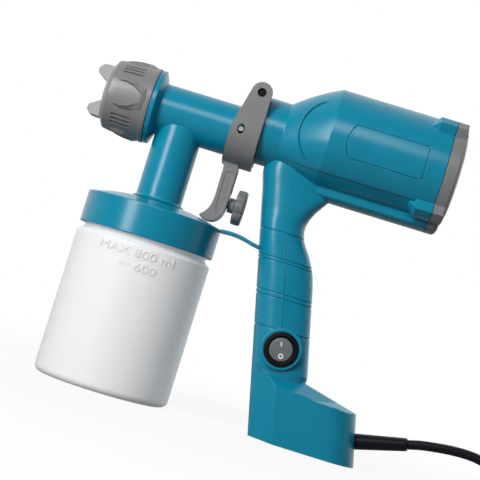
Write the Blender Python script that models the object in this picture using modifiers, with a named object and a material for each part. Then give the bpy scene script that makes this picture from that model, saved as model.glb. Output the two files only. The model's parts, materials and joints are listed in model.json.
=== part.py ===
"""Handheld electric paint sprayer with a cup below its barrel, as an assembly of separate parts.

Metres, +Z up. The origin is on the floor below the middle of the body. The sprayer points
along -X, stands on its cup and on the foot of its handle, and has its switch on the -Y side.
"""

from math import ceil, cos, pi, radians, sin, sqrt

import bmesh
import bpy
from mathutils import Matrix, Vector

# ---- Driving dimensions ------------------------------------------------------------------
SEAM = 0.0003                       # gap between pieces that touch
PLAY = 0.0004                       # gap round a piece that moves

SPRAY_Z = 0.2097                    # height of the spray axis
CUP_X = -0.0666                     # cup, lid and neck share this upright axis
CUP_RADIUS = 0.05065
CUP_WALL = 0.0022
CUP_NECK_RADIUS = 0.0463
CUP_SHOULDER_Z = 0.1070
CUP_RIM_Z = 0.1310
LID_BOTTOM_Z = 0.1135
LID_EDGE_Z = 0.1370
LID_TOP_Z = 0.1430

BARREL_RADIUS = 0.0191
BARREL_SHOULDER_X = -0.0087
COLLAR_RADIUS = 0.0275
COLLAR_FRONT_X = -0.0912
NECK_RADIUS = 0.01725
NUT_FRONT_X = -0.1255
HORN_TIP_X = -0.1370

NOSE_X = (-0.0081, 0.0073)          # ring of the housing that takes the barrel
NOSE_RADIUS = 0.0250
NOSE_Z = 0.2162
MOTOR_X = (0.0404, 0.1257)          # straight part of the housing
MOTOR_RADIUS = 0.0389
MOTOR_Z = 0.2234
COVER_EDGE_X = 0.1341               # where the rear cover's side ends and its crown starts
REAR_X = 0.1372
SHELL_WALL = 0.0026
CREASE_ANGLE = radians(134)         # step line on the housing's side, measured from the top
CREASE_STEP = 0.0008
KEEL_HALF_WIDTH = 0.0140
KEEL_BOTTOM_Z = 0.1791
CHEEK_CENTRE = (0.0445, 0.2237)     # raised cheek on the dome's side: x and z
CHEEK_RADIUS = 0.0268
CHEEK_STATIONS = ((0.0120, 0.0011), (0.0240, 0.0011), (0.0340, 0.0010), (0.0415, 0.0002),
                  (0.0500, -0.0010))  # x, and how far the cheek stands proud there
BOSS_Y = 0.0262                     # cover screws, from the middle plane
BOSS_RISE = 0.0314                  # cover screws, from the motor axis

HANDLE_TOP = Vector((0.0, 0.0, 0.1916))
HANDLE_SLANT = radians(13.7)
HANDLE_DEPTH = 0.0412
HANDLE_HALF_WIDTH = 0.0185
FOOT_HALF_WIDTH = 0.0240
FOOT_DEPTH = 0.0780
FOOT_CROWN_HALF_WIDTH = 0.0104      # flat middle of the foot's top; its sides slope down and out
FOOT_REAR_RADIUS = 0.0215
FOOT_RIDGE_BACK = 0.0185            # where the front facet meets the side
SWITCH_DOWN = 0.1336                # along the handle, from its top
SWITCH_BEZEL_RADIUS = 0.0130
ROCKER_TIP = radians(8)             # to either side of level; at rest the lower side is in

PIVOT_X = -0.0156                   # trigger pivot
PIVOT_Z = 0.2391
PIN_RADIUS = 0.0028
KNUCKLE_RADIUS = 0.0066             # of the housing's lug that carries the pivot pin
YOKE_INNER = 0.0256                 # half width inside the yoke
YOKE_WALL = 0.0023
LEVER_HALF_WIDTH = 0.0095
CROSS_PIN_X = -0.0225
KNOB_Z = 0.1563
KNOB_RADIUS = 0.0130

CORD_RADIUS = 0.0035
CORD_LENGTH = 1.8
COIL_CENTRE = Vector((0.3250, 0.0, 0.0))
COIL_MEAN_RADIUS = 0.0388
COIL_TURNS = 6.5
COIL_START = radians(-90)
COIL_PITCH = 0.0076                 # from turn to turn and from layer to layer
PLUG_HALF_HEIGHT = 0.0084
RELIEF_DOWN = 0.1975                # strain relief, along the handle from its top
RELIEF_LENGTH = 0.0386
GLAND_RADIUS = 0.0049               # neck of the strain relief, in the foot's wall

BLUE = ("blue_plastic", (0.007, 0.238, 0.381), 0.38, 0.0)
GREY = ("grey_plastic", (0.230, 0.235, 0.238), 0.45, 0.0)
LIGHT_GREY = ("light_grey_plastic", (0.376, 0.380, 0.386), 0.42, 0.0)
DARK_GREY = ("dark_grey_plastic", (0.159, 0.170, 0.179), 0.45, 0.0)
BLACK = ("black_plastic", (0.006, 0.008, 0.010), 0.40, 0.0)
WHITE = ("white_plastic", (0.800, 0.800, 0.800), 0.40, 0.0)
STEEL = ("steel", (0.560, 0.570, 0.580), 0.30, 1.0)
BRASS = ("brass", (0.560, 0.370, 0.120), 0.32, 1.0)
COPPER = ("copper", (0.640, 0.240, 0.110), 0.35, 1.0)
RUBBER = ("black_rubber", (0.010, 0.011, 0.013), 0.75, 0.0)
FOAM = ("filter_foam", (0.040, 0.042, 0.045), 0.95, 0.0)

ALONG_X = (0.0, pi / 2, 0.0)        # turns a local +Z axis to world +X
ALONG_Y = (-pi / 2, 0.0, 0.0)       # turns a local +Z axis to world +Y


# ---- Scene and helpers -------------------------------------------------------------------
def clear_scene():
    for old in list(bpy.data.objects):
        bpy.data.objects.remove(old, do_unlink=True)


def make_collection(name):
    collection = bpy.data.collections.new(name)
    bpy.context.scene.collection.children.link(collection)
    return collection


clear_scene()
PARTS = make_collection("paint_sprayer")
CUTTERS = make_collection("cutters")


def material(finish):
    name, colour, roughness, metallic = finish
    found = bpy.data.materials.get(name)
    if found:
        return found
    made = bpy.data.materials.new(name)
    made.use_nodes = True
    shader = made.node_tree.nodes["Principled BSDF"]
    shader.inputs["Base Color"].default_value = (*colour, 1.0)
    shader.inputs["Roughness"].default_value = roughness
    shader.inputs["Metallic"].default_value = metallic
    made.diffuse_color = (*colour, 1.0)
    return made


def add_mesh(name, mesh, finish=None, place=(0, 0, 0), turn=(0, 0, 0)):
    """Make an object of a mesh: a part if it has a finish, or else a cutter."""
    made = bpy.data.objects.new(name, mesh)
    made.location = place
    made.rotation_euler = turn
    if finish:
        PARTS.objects.link(made)
        mesh.materials.clear()
        mesh.materials.append(material(finish))
    else:
        CUTTERS.objects.link(made)
        made.hide_render = True
        made.display_type = "WIRE"
    return made


def weld(mesh):
    """Close a mesh's seams, drop its slivers and turn it to face out."""
    tidy = bmesh.new()
    tidy.from_mesh(mesh)
    bmesh.ops.remove_doubles(tidy, verts=tidy.verts, dist=0.000002)
    bmesh.ops.dissolve_degenerate(tidy, edges=tidy.edges, dist=0.000001)
    bmesh.ops.recalc_face_normals(tidy, faces=tidy.faces)
    tidy.to_mesh(mesh)
    tidy.free()


def bake(target):
    """Replace an object's mesh by what its modifiers make of it, welded and facing out."""
    bpy.context.view_layer.update()
    evaluated = target.evaluated_get(bpy.context.evaluated_depsgraph_get())
    mesh = bpy.data.meshes.new_from_object(evaluated)
    weld(mesh)
    target.modifiers.clear()
    target.data = mesh
    return target


def merge_flat_faces(mesh):
    """Merge triangles that lie in one plane, and fill each plane again with as few as it needs."""
    flat = bmesh.new()
    flat.from_mesh(mesh)
    bmesh.ops.dissolve_limit(flat, angle_limit=radians(0.1), verts=flat.verts, edges=flat.edges)
    bmesh.ops.triangulate(flat, faces=flat.faces)
    bmesh.ops.dissolve_degenerate(flat, edges=flat.edges, dist=0.000001)
    flat.to_mesh(mesh)
    flat.free()


def smooth(target, angle=35):
    target.data.shade_smooth()
    target.data.set_sharp_from_angle(angle=radians(angle))
    return target


def combine(target, other, operation):
    """Apply a Boolean and remove the other object."""
    step = target.modifiers.new(operation.lower(), "BOOLEAN")
    step.operation = operation
    step.object = other
    step.solver = "EXACT"
    bake(target)
    bpy.data.objects.remove(other, do_unlink=True)
    return target


def join(target, *others):
    for other in others:
        combine(target, other, "UNION")
    return target


def cut(target, *others):
    for other in others:
        combine(target, other, "DIFFERENCE")
    return target


def turned(name, profile, steps, finish=None, place=(0, 0, 0), turn=(0, 0, 0), closed=True):
    """Turn a profile of (radius, height) points about local Z.

    A closed profile is a ring; an open one starts and ends on the axis.
    """
    mesh = bpy.data.meshes.new(name)
    edges = [(i, i + 1) for i in range(len(profile) - 1)]
    if closed:
        edges.append((len(profile) - 1, 0))
    mesh.from_pydata([(radius, 0.0, height) for radius, height in profile], edges, [])
    made = add_mesh(name, mesh, finish, place, turn)
    screw = made.modifiers.new("turn", "SCREW")
    screw.steps = steps
    screw.render_steps = steps
    screw.use_merge_vertices = True
    screw.merge_threshold = 0.00001
    return smooth(bake(made))


def rod(name, radius, start, end, steps, finish=None, centre=(0, 0), axis="X"):
    """A plain cylinder between two places on an axis; centre gives the other two coordinates."""
    profile = [(0, end), (radius, end), (radius, start), (0, start)]
    if axis == "X":
        return turned(name, profile, steps, finish, (0, centre[0], centre[1]), ALONG_X, False)
    if axis == "Y":
        return turned(name, profile, steps, finish, (centre[0], 0, centre[1]), ALONG_Y, False)
    return turned(name, profile, steps, finish, (centre[0], centre[1], 0), (0, 0, 0), False)


def box(name, low, high, finish=None, bevel=0.0):
    """A box between two corners, with an optional rounded edge."""
    shape = bmesh.new()
    bmesh.ops.create_cube(shape, size=1.0)
    size = Vector(high) - Vector(low)
    bmesh.ops.scale(shape, vec=size, verts=shape.verts)
    mesh = bpy.data.meshes.new(name)
    shape.to_mesh(mesh)
    shape.free()
    made = add_mesh(name, mesh, finish, (Vector(low) + Vector(high)) / 2)
    if bevel:
        soften(made, bevel)
        bake(made)
    return made


def soften(target, width, segments=1, angle=40):
    edge = target.modifiers.new("soften", "BEVEL")
    edge.width = width
    edge.segments = segments
    edge.limit_method = "ANGLE"
    edge.angle_limit = radians(angle)


def loft(name, rings, finish=None, place=(0, 0, 0)):
    """Skin a row of rings with equal numbers of points, and close both ends."""
    shape = bmesh.new()
    rows = [[shape.verts.new(point) for point in ring] for ring in rings]
    for first, second in zip(rows, rows[1:]):
        for i, corner in enumerate(first):
            j = (i + 1) % len(first)
            shape.faces.new((corner, first[j], second[j], second[i]))
    bmesh.ops.triangulate(shape, faces=shape.faces)
    shape.faces.new(rows[0])
    shape.faces.new(rows[-1])
    bmesh.ops.recalc_face_normals(shape, faces=shape.faces)
    mesh = bpy.data.meshes.new(name)
    shape.to_mesh(mesh)
    shape.free()
    return smooth(add_mesh(name, mesh, finish, place))


def plate(name, outline, half_width, finish=None, bevel=0.0):
    """Extrude an outline of (x, z) points to both sides of the middle plane."""
    curve = bpy.data.curves.new(name, "CURVE")
    curve.dimensions = "2D"
    curve.fill_mode = "BOTH"
    curve.extrude = half_width
    line = curve.splines.new("POLY")
    line.points.add(len(outline) - 1)
    for point, (x, z) in zip(line.points, outline):
        point.co = (x, z, 0, 1)
    line.use_cyclic_u = True
    made = curve_to_mesh(name, curve, finish, Matrix.Rotation(pi / 2, 4, "X"))
    if bevel:
        soften(made, bevel)
        bake(made)
    return smooth(made)


def curve_to_mesh(name, curve, finish, matrix=None):
    """Make a welded mesh object of a curve and remove the curve."""
    guide = bpy.data.objects.new(name + "_curve", curve)
    bpy.context.scene.collection.objects.link(guide)
    bpy.context.view_layer.update()
    mesh = bpy.data.meshes.new_from_object(
        guide.evaluated_get(bpy.context.evaluated_depsgraph_get()))
    bpy.data.objects.remove(guide, do_unlink=True)
    weld(mesh)
    made = add_mesh(name, mesh, finish)
    if matrix:
        made.data.transform(matrix)
    return made


def tube(name, points, radius, finish, sides=8):
    """A tube with filled caps along a poly line."""
    curve = bpy.data.curves.new(name, "CURVE")
    curve.dimensions = "3D"
    curve.bevel_depth = radius
    curve.bevel_resolution = (sides - 4) // 2
    curve.use_fill_caps = True
    line = curve.splines.new("POLY")
    line.points.add(len(points) - 1)
    for point, place in zip(line.points, points):
        point.co = (*place, 1)
    return smooth(curve_to_mesh(name, curve, finish), 50)


def arc(centre, radius, start, end, count):
    """Points on an arc in degrees, as (x, z) pairs."""
    angles = [radians(start + (end - start) * i / (count - 1)) for i in range(count)]
    return [(centre[0] + radius * cos(a), centre[1] + radius * sin(a)) for a in angles]


def smooth_path(route, step):
    """Points a step apart on a Catmull-Rom curve through the route's points."""
    ends = [route[0] * 2 - route[1], *route, route[-1] * 2 - route[-2]]
    fine = []
    for before, start, end, after in zip(ends, ends[1:], ends[2:], ends[3:]):
        for i in range(20):
            u = i / 20
            fine.append(0.5 * (2 * start + (end - before) * u
                               + (2 * before - 5 * start + 4 * end - after) * u ** 2
                               + (3 * start - before - 3 * end + after) * u ** 3))
    fine.append(route[-1])
    lengths = [0.0]
    for first, second in zip(fine, fine[1:]):
        lengths.append(lengths[-1] + (second - first).length)
    count = max(2, ceil(lengths[-1] / step))
    path = []
    k = 0
    for i in range(count + 1):
        goal = lengths[-1] * i / count
        while k < len(fine) - 2 and lengths[k + 1] < goal:
            k += 1
        share = (goal - lengths[k]) / (lengths[k + 1] - lengths[k])
        path.append(fine[k].lerp(fine[k + 1], min(1.0, share)))
    return path


def path_length(path):
    return sum((second - first).length for first, second in zip(path, path[1:]))


# ---- Handle coordinates ------------------------------------------------------------------
HANDLE_DOWN = Vector((sin(HANDLE_SLANT), 0, -cos(HANDLE_SLANT)))
HANDLE_BACK = Vector((cos(HANDLE_SLANT), 0, sin(HANDLE_SLANT)))


def on_handle(down, back, side=0.0):
    """A point by its distance down the handle, back from its front edge, and sideways."""
    return HANDLE_TOP + HANDLE_DOWN * down + HANDLE_BACK * back + Vector((0, side, 0))


def floor_down(back):
    """The distance down the handle at which a line parallel to it meets the floor."""
    return (HANDLE_TOP.z + back * sin(HANDLE_SLANT)) / cos(HANDLE_SLANT)


# ---- Housing -----------------------------------------------------------------------------
def housing_angles():
    """Angles round the motor housing, with a double point at each step line."""
    over = [CREASE_ANGLE * i / 10 for i in range(11)]
    under = [CREASE_ANGLE + (pi - CREASE_ANGLE) * i / 3 for i in range(4)]
    half = [(a, False) for a in over] + [(a, True) for a in under]
    back = [(2 * pi - a, low) for a, low in reversed(half[1:-1])]
    return half + back


def dome_share(x):
    """How far x lies along the dome, from 0 at the nose to 1 at the motor housing."""
    return min(1.0, max(0.0, (x - NOSE_X[1]) / (MOTOR_X[0] - NOSE_X[1])))


def housing_circle(x):
    """Radius and centre height of the dome or the motor housing at x."""
    share = dome_share(x)
    rise = 1.3 * share - 0.3 * share ** 2
    top = NOSE_Z + NOSE_RADIUS + (MOTOR_Z + MOTOR_RADIUS - NOSE_Z - NOSE_RADIUS) * rise
    bottom = NOSE_Z - NOSE_RADIUS + (MOTOR_Z - MOTOR_RADIUS - NOSE_Z + NOSE_RADIUS) * share
    return (top - bottom) / 2, (top + bottom) / 2


def housing_ring(x):
    """Section of the dome or the motor housing, with its step line."""
    radius, middle = housing_circle(x)
    step = CREASE_STEP * max(dome_share(x), 0.15)
    return [(x, (radius - step * low) * sin(a), middle + (radius - step * low) * cos(a))
            for a, low in housing_angles()]


def circle_ring(x, radius, middle, count):
    """A plain circle across the X axis."""
    angles = [2 * pi * i / count for i in range(count)]
    return [(x, radius * sin(a), middle + radius * cos(a)) for a in angles]


HANDLE_STATIONS = (                 # down the handle, front, back, half width
    (-0.0120, 0.0060, 0.0500, 0.0175),
    (0.0020, 0.0000, 0.0600, 0.0180),
    (0.0150, 0.0000, 0.0580, 0.0180),
    (0.0250, 0.0000, 0.0490, 0.0180),
    (0.0340, 0.0000, 0.0395, 0.0180),
    (0.0440, 0.0000, 0.0335, 0.0180),
    (0.0540, 0.0000, 0.0332, 0.0181),
    (0.0660, 0.0000, 0.0375, 0.0183),
    (0.0800, 0.0000, 0.0408, HANDLE_HALF_WIDTH),
    (0.1150, 0.0000, HANDLE_DEPTH, HANDLE_HALF_WIDTH),
    (0.2100, 0.0000, HANDLE_DEPTH, HANDLE_HALF_WIDTH),
)
HANDLE_TOP_Z = 0.2010               # inside the motor housing
HANDLE_LEVELS = (0.1920, 0.1840, 0.1760, 0.1685, 0.1610, 0.1550, 0.1400, 0.1180)
HANDLE_GROOVES = (0.1475, 0.1288, 0.1265, 0.1046, 0.1013, 0.0794)
HANDLE_FOOT_Z = (0.0520, 0.0440)    # where the handle starts to draw in over the foot, and its end
FOOT_DRAW_IN = 0.0022
GROOVE_HALF_WIDTH = 0.0006
GROOVE_DEPTH = 0.0007


def handle_size(down):
    """Front edge, back edge and half width of the handle at a distance down it."""
    for above, below in zip(HANDLE_STATIONS, HANDLE_STATIONS[1:]):
        if down <= below[0]:
            break
    share = (down - above[0]) / (below[0] - above[0])
    return [low + (high - low) * share for low, high in zip(above[1:], below[1:])]


def handle_ring(level, inset=0.0, count=20, square=2.5):
    """Level section of the slanting handle, a rounded oval."""
    ring = []
    for i in range(count):
        angle = 2 * pi * i / count
        along = abs(cos(angle)) ** (2 / square) * (1 if cos(angle) > 0 else -1)
        across = abs(sin(angle)) ** (2 / square) * (1 if sin(angle) > 0 else -1)
        down = (HANDLE_TOP.z - level) / cos(HANDLE_SLANT)
        for _ in range(6):
            front, back, half_width = handle_size(down)
            reach = (front + back) / 2 - ((back - front) / 2 - inset) * along
            down = (HANDLE_TOP.z + reach * sin(HANDLE_SLANT) - level) / cos(HANDLE_SLANT)
        ring.append(on_handle(down, reach, (half_width - inset) * across))
    return ring


def handle_sections():
    """The handle's level sections from top to bottom, grooves and drawn-in end among them."""
    levels = [(level, 0.0) for level in (HANDLE_TOP_Z, *HANDLE_LEVELS)]
    for level in HANDLE_GROOVES:
        levels += [(level + GROOVE_HALF_WIDTH, 0.0), (level, GROOVE_DEPTH), (level - GROOVE_HALF_WIDTH, 0.0)]
    levels += [(HANDLE_FOOT_Z[0], 0.0), (HANDLE_FOOT_Z[1], FOOT_DRAW_IN)]
    return [handle_ring(*level) for level in sorted(levels, reverse=True)]


def foot_outline(inset):
    """Plan of the foot across the handle's axis: (back, side) points."""
    side = FOOT_HALF_WIDTH - inset
    corner = FOOT_REAR_RADIUS - inset
    rear = FOOT_DEPTH - inset
    half = [(inset, 0.0), (inset, 0.0050 - inset / 2), (0.0012 + inset, 0.0090 - inset / 2),
            (FOOT_RIDGE_BACK + inset / 2, side)]
    for i in range(7):
        angle = pi / 2 * i / 6
        half.append((rear - corner + corner * sin(angle), side - corner + corner * cos(angle)))
    return half + [(back, -across) for back, across in reversed(half[1:])]


def foot_top(back, side, cover):
    """A point on the foot's top: a flat crown between sloping sides."""
    slope = max(0.0, (abs(side) - FOOT_CROWN_HALF_WIDTH) / (FOOT_HALF_WIDTH - FOOT_CROWN_HALF_WIDTH))
    down = (1 - slope) * (0.1372 + 0.520 * back) + slope * (0.1529 + 0.329 * back)
    return on_handle(down + cover, back, side)


def foot(name, inset=0.0, cover=0.0, floor_gap=0.0):
    """The foot: its plan run down the handle to the floor, under the faceted top."""
    plan = foot_outline(inset)
    prism = loft(name, [[on_handle(0.1300, back, side) for back, side in plan],
                        [on_handle(floor_down(back) - floor_gap, back, side) for back, side in plan]])
    crown = FOOT_CROWN_HALF_WIDTH
    reach = FOOT_HALF_WIDTH + 0.0040
    sections = []
    for i in range(5):
        back = -0.0060 + 0.0920 * i / 4
        top = [foot_top(back, side, cover) for side in (-reach, -crown, crown, reach)]
        sections.append([on_handle(0.2400, back, -reach), *top, on_handle(0.2400, back, reach)])
    return combine(prism, loft("foot_slope", sections), "INTERSECT")


def boss_ring(x, lift, side, up):
    """Section of a screw boss: a wedge whose ridge stands proud of the housing's side."""
    corners = ((0.0120, 0.0240), (0.0195, 0.0380), (0.0270, 0.0366), (0.0330, 0.0322),
               (0.0290, 0.0245), (0.0180, 0.0200))
    centre_y, centre_z = 0.0180, 0.0240
    ring = []
    for across, rise in corners:
        y = centre_y + (across - centre_y) * lift
        z = centre_z + (rise - centre_z) * lift
        ring.append((x, side * y, MOTOR_Z + up * z))
    return ring


def boss(name, side, up, x_start, x_end):
    """A cover-screw boss from x_start to x_end; one that starts on the housing has a sloping front."""
    if x_start < MOTOR_X[1]:
        starts = ((x_start, 0.45), (x_start + 0.0066, 1.0))
    else:
        starts = ((x_start, 1.0),)
    return loft(name, [boss_ring(x, lift, side, up) for x, lift in (*starts, (x_end, 1.0))][::-1])


def keel_ring(x, half_width, bottom):
    """Section of the keel: upright sides and a rounded underside."""
    side_z = bottom + 0.0052
    ring = [(x, -half_width, MOTOR_Z - 0.020), (x, -half_width, side_z)]
    for i in range(1, 8):
        angle = pi * i / 8
        ring.append((x, -half_width * cos(angle), side_z - 0.0052 * sin(angle) ** 0.7))
    ring += [(x, half_width, side_z), (x, half_width, MOTOR_Z - 0.020)]
    return ring


def cheek(side):
    """Raised cheek on the side of the dome, with a round front edge."""
    rings = []
    for x, proud in CHEEK_STATIONS:
        radius, middle = housing_circle(x)
        rings.append(circle_ring(x, radius + proud, middle, 28))
    disc = rod("cheek_disc", CHEEK_RADIUS, side * 0.034 - 0.026, side * 0.034 + 0.026, 32, None,
               CHEEK_CENTRE, "Y")
    return combine(loft("cheek", rings), disc, "INTERSECT")


def outer_body():
    """The closed outer form of housing, handle and foot."""
    xs = [NOSE_X[1] + (MOTOR_X[0] - NOSE_X[1]) * i / 4 for i in range(5)]
    body = loft("outer_body", [housing_ring(x) for x in xs + [MOTOR_X[1] + 0.004]])
    nose = rod("nose", NOSE_RADIUS, NOSE_X[0], NOSE_X[1] + 0.006, 32, None, (0, NOSE_Z))
    keel = loft("keel", [keel_ring(x, KEEL_HALF_WIDTH, KEEL_BOTTOM_Z) for x in (0.036, 0.1320)])
    handle = loft("handle", handle_sections())
    knuckle_end = YOKE_INNER - PLAY
    knuckle = rod("knuckle", KNUCKLE_RADIUS, -knuckle_end, knuckle_end, 16, None,
                  (PIVOT_X, PIVOT_Z), "Y")
    web = box("web", (PIVOT_X, -0.0160, 0.2326), (NOSE_X[0] + 0.006, 0.0160, 0.2410))
    join(body, nose, keel, handle, foot("foot"), knuckle, web)
    join(body, cheek(-1), cheek(1))
    for side in (-1, 1):
        for up in (-1, 1):
            join(body, boss("boss", side, up, 0.1068, MOTOR_X[1] + 0.004))
    rear = box("rear_trim", (MOTOR_X[1], -0.1, 0.12), (MOTOR_X[1] + 0.05, 0.1, 0.32))
    return cut(body, rear)


def hollow(body):
    """Open the nose bore, the motor room, the handle and the foot."""
    sections = ((0.0100, 0.0225, 0.2170), (MOTOR_X[0], 0.0360, MOTOR_Z),
                (MOTOR_X[1] + 0.002, 0.0360, MOTOR_Z))
    room = loft("motor_room", [circle_ring(*section, 28) for section in sections])
    bore = rod("nose_bore", 0.0158, NOSE_X[0] - 0.002, 0.0200, 28, None, (0, SPRAY_Z))
    grip = loft("handle_room", [handle_ring(level, SHELL_WALL, 12)
                                for level in (0.1930, *HANDLE_LEVELS[1:-2], HANDLE_GROOVES[-1], 0.0500)])
    return cut(body, room, grip, foot("foot_room", SHELL_WALL, SHELL_WALL, SHELL_WALL), bore)


SHELL_SCREWS = (                    # down the handle, back from its front edge, half post length
    (0.0350, 0.0150, 0.0150),
    (0.0850, 0.0280, 0.0148),
    (0.1760, 0.0260, 0.0225),
    (0.1880, 0.0620, 0.0203),
)


def screw_posts(body):
    """Posts in the handle and the foot that the shell screws clamp."""
    for down, back, reach in SHELL_SCREWS:
        centre = on_handle(down, back)
        join(body, rod("post", 0.0042, -reach, reach, 8, None, (centre.x, centre.z), "Y"))
    return body


def switch_ring(body):
    """Raised ring that stands round the switch on the near side."""
    centre = on_handle(SWITCH_DOWN, HANDLE_DEPTH / 2)
    profile = [(0, -0.0150), (0.0152, -0.0150), (0.0152, -0.0194), (0.0143, -0.0203), (0, -0.0203)]
    return join(body, turned("switch_ring", profile, 24, None, (centre.x, 0, centre.z), ALONG_Y, False))


def housing_shells():
    body = outer_body()
    switch_ring(body)
    hollow(body)
    screw_posts(body)
    pivot = rod("pivot_hole", PIN_RADIUS + SEAM, -0.03, 0.03, 12, None, (PIVOT_X, PIVOT_Z), "Y")
    gland = rod("gland_hole", GLAND_RADIUS + SEAM, 0.0, 0.02, 16, None)
    gland.matrix_world = Matrix.Translation(on_handle(RELIEF_DOWN, FOOT_DEPTH - 0.010)) @ \
        HANDLE_BACK.to_track_quat("Z", "Y").to_matrix().to_4x4()
    cut(body, pivot, gland)
    for side in (-1, 1):
        for up in (-1, 1):
            centre = (side * BOSS_Y, MOTOR_Z + up * BOSS_RISE)
            cut(body, rod("pilot", 0.0016, 0.1150, 0.14, 6, None, centre))
    shells = []
    for name, side in (("housing_right", -1), ("housing_left", 1)):
        half = add_mesh(name, body.data.copy(), BLUE)
        low = -0.1 if side > 0 else -SEAM / 2
        high = SEAM / 2 if side > 0 else 0.1
        cut(half, box("half_plane", (-0.2, low, -0.01), (0.2, high, 0.3)))
        shells.append(half)
    bpy.data.objects.remove(body, do_unlink=True)
    right, left = shells
    centre = on_handle(SWITCH_DOWN, HANDLE_DEPTH / 2)
    cut(right, rod("switch_hole", 0.0113, -0.03, -0.01, 24, None, (centre.x, centre.z), "Y"))
    for down, back, _ in SHELL_SCREWS:
        place = on_handle(down, back)
        cut(right, rod("thread", 0.0015, -0.0110, 0.001, 6, None, (place.x, place.z), "Y"))
        cut(left, rod("shank", 0.0018, -0.001, 0.03, 6, None, (place.x, place.z), "Y"))
        cut(left, rod("pocket", 0.0034, 0.0120, 0.03, 8, None, (place.x, place.z), "Y"))
    for shell in shells:
        smooth(shell)


def rear_cover():
    """Grey end cover: crowned disc, keel end and four bosses, with air slots."""
    front = MOTOR_X[1] + SEAM
    profile = [(0, REAR_X), (0.0300, REAR_X), (0.0362, REAR_X - 0.0012), (MOTOR_RADIUS, COVER_EDGE_X),
               (MOTOR_RADIUS, front), (0, front)]
    cover = turned("rear_cover", profile, 28, GREY, (0, 0, MOTOR_Z), ALONG_X, False)
    keel_end = loft("keel_end", [keel_ring(front, KEEL_HALF_WIDTH, KEEL_BOTTOM_Z),
                                 keel_ring(0.1322, KEEL_HALF_WIDTH, KEEL_BOTTOM_Z),
                                 keel_ring(0.1346, KEEL_HALF_WIDTH - 0.002, KEEL_BOTTOM_Z + 0.003)])
    join(cover, keel_end)
    for side in (-1, 1):
        for up in (-1, 1):
            join(cover, boss("cover_boss", side, up, front, 0.1339))
    room = turned("cover_room", [(0, 0.1346), (0.0330, 0.1346), (0.0355, 0.1330), (0.0355, 0.12), (0, 0.12)],
                  24, None, (0, 0, MOTOR_Z), ALONG_X, False)
    cut(cover, room)
    for row in range(-2, 3):
        height = MOTOR_Z + row * 0.0100
        reach = sqrt(0.0275 ** 2 - (row * 0.0100) ** 2)
        cut(cover, box("air_slot", (0.13, -reach, height - 0.0015), (0.14, reach, height + 0.0015)))
    for side in (-1, 1):
        for up in (-1, 1):
            centre = (side * BOSS_Y, MOTOR_Z + up * BOSS_RISE)
            cut(cover, rod("clearance", 0.0019, 0.12, 0.14, 6, None, centre))
            cut(cover, rod("counterbore", 0.0036, 0.1305, 0.14, 10, None, centre))
    return smooth(cover)


def cover_screws():
    number = 0
    for side in (-1, 1):
        for up in (-1, 1):
            number += 1
            profile = [(0, 0.1331), (0.0022, 0.1331), (0.0031, 0.1321), (0.0031, 0.1308),
                       (0.0013, 0.1308), (0.0013, 0.1166), (0, 0.1156)]
            turned(f"cover_screw_{number}", profile, 8, STEEL,
                   (0, side * BOSS_Y, MOTOR_Z + up * BOSS_RISE), ALONG_X, False)


def shell_screws():
    for number, (down, back, _) in enumerate(SHELL_SCREWS, 1):
        place = on_handle(down, back)
        profile = [(0, 0.0146), (0.0020, 0.0146), (0.0029, 0.0137), (0.0029, 0.0123),
                   (0.0011, 0.0123), (0.0011, -0.0095), (0, -0.0105)]
        turned(f"shell_screw_{number}", profile, 8, STEEL, (place.x, 0, place.z), ALONG_Y, False)


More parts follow.
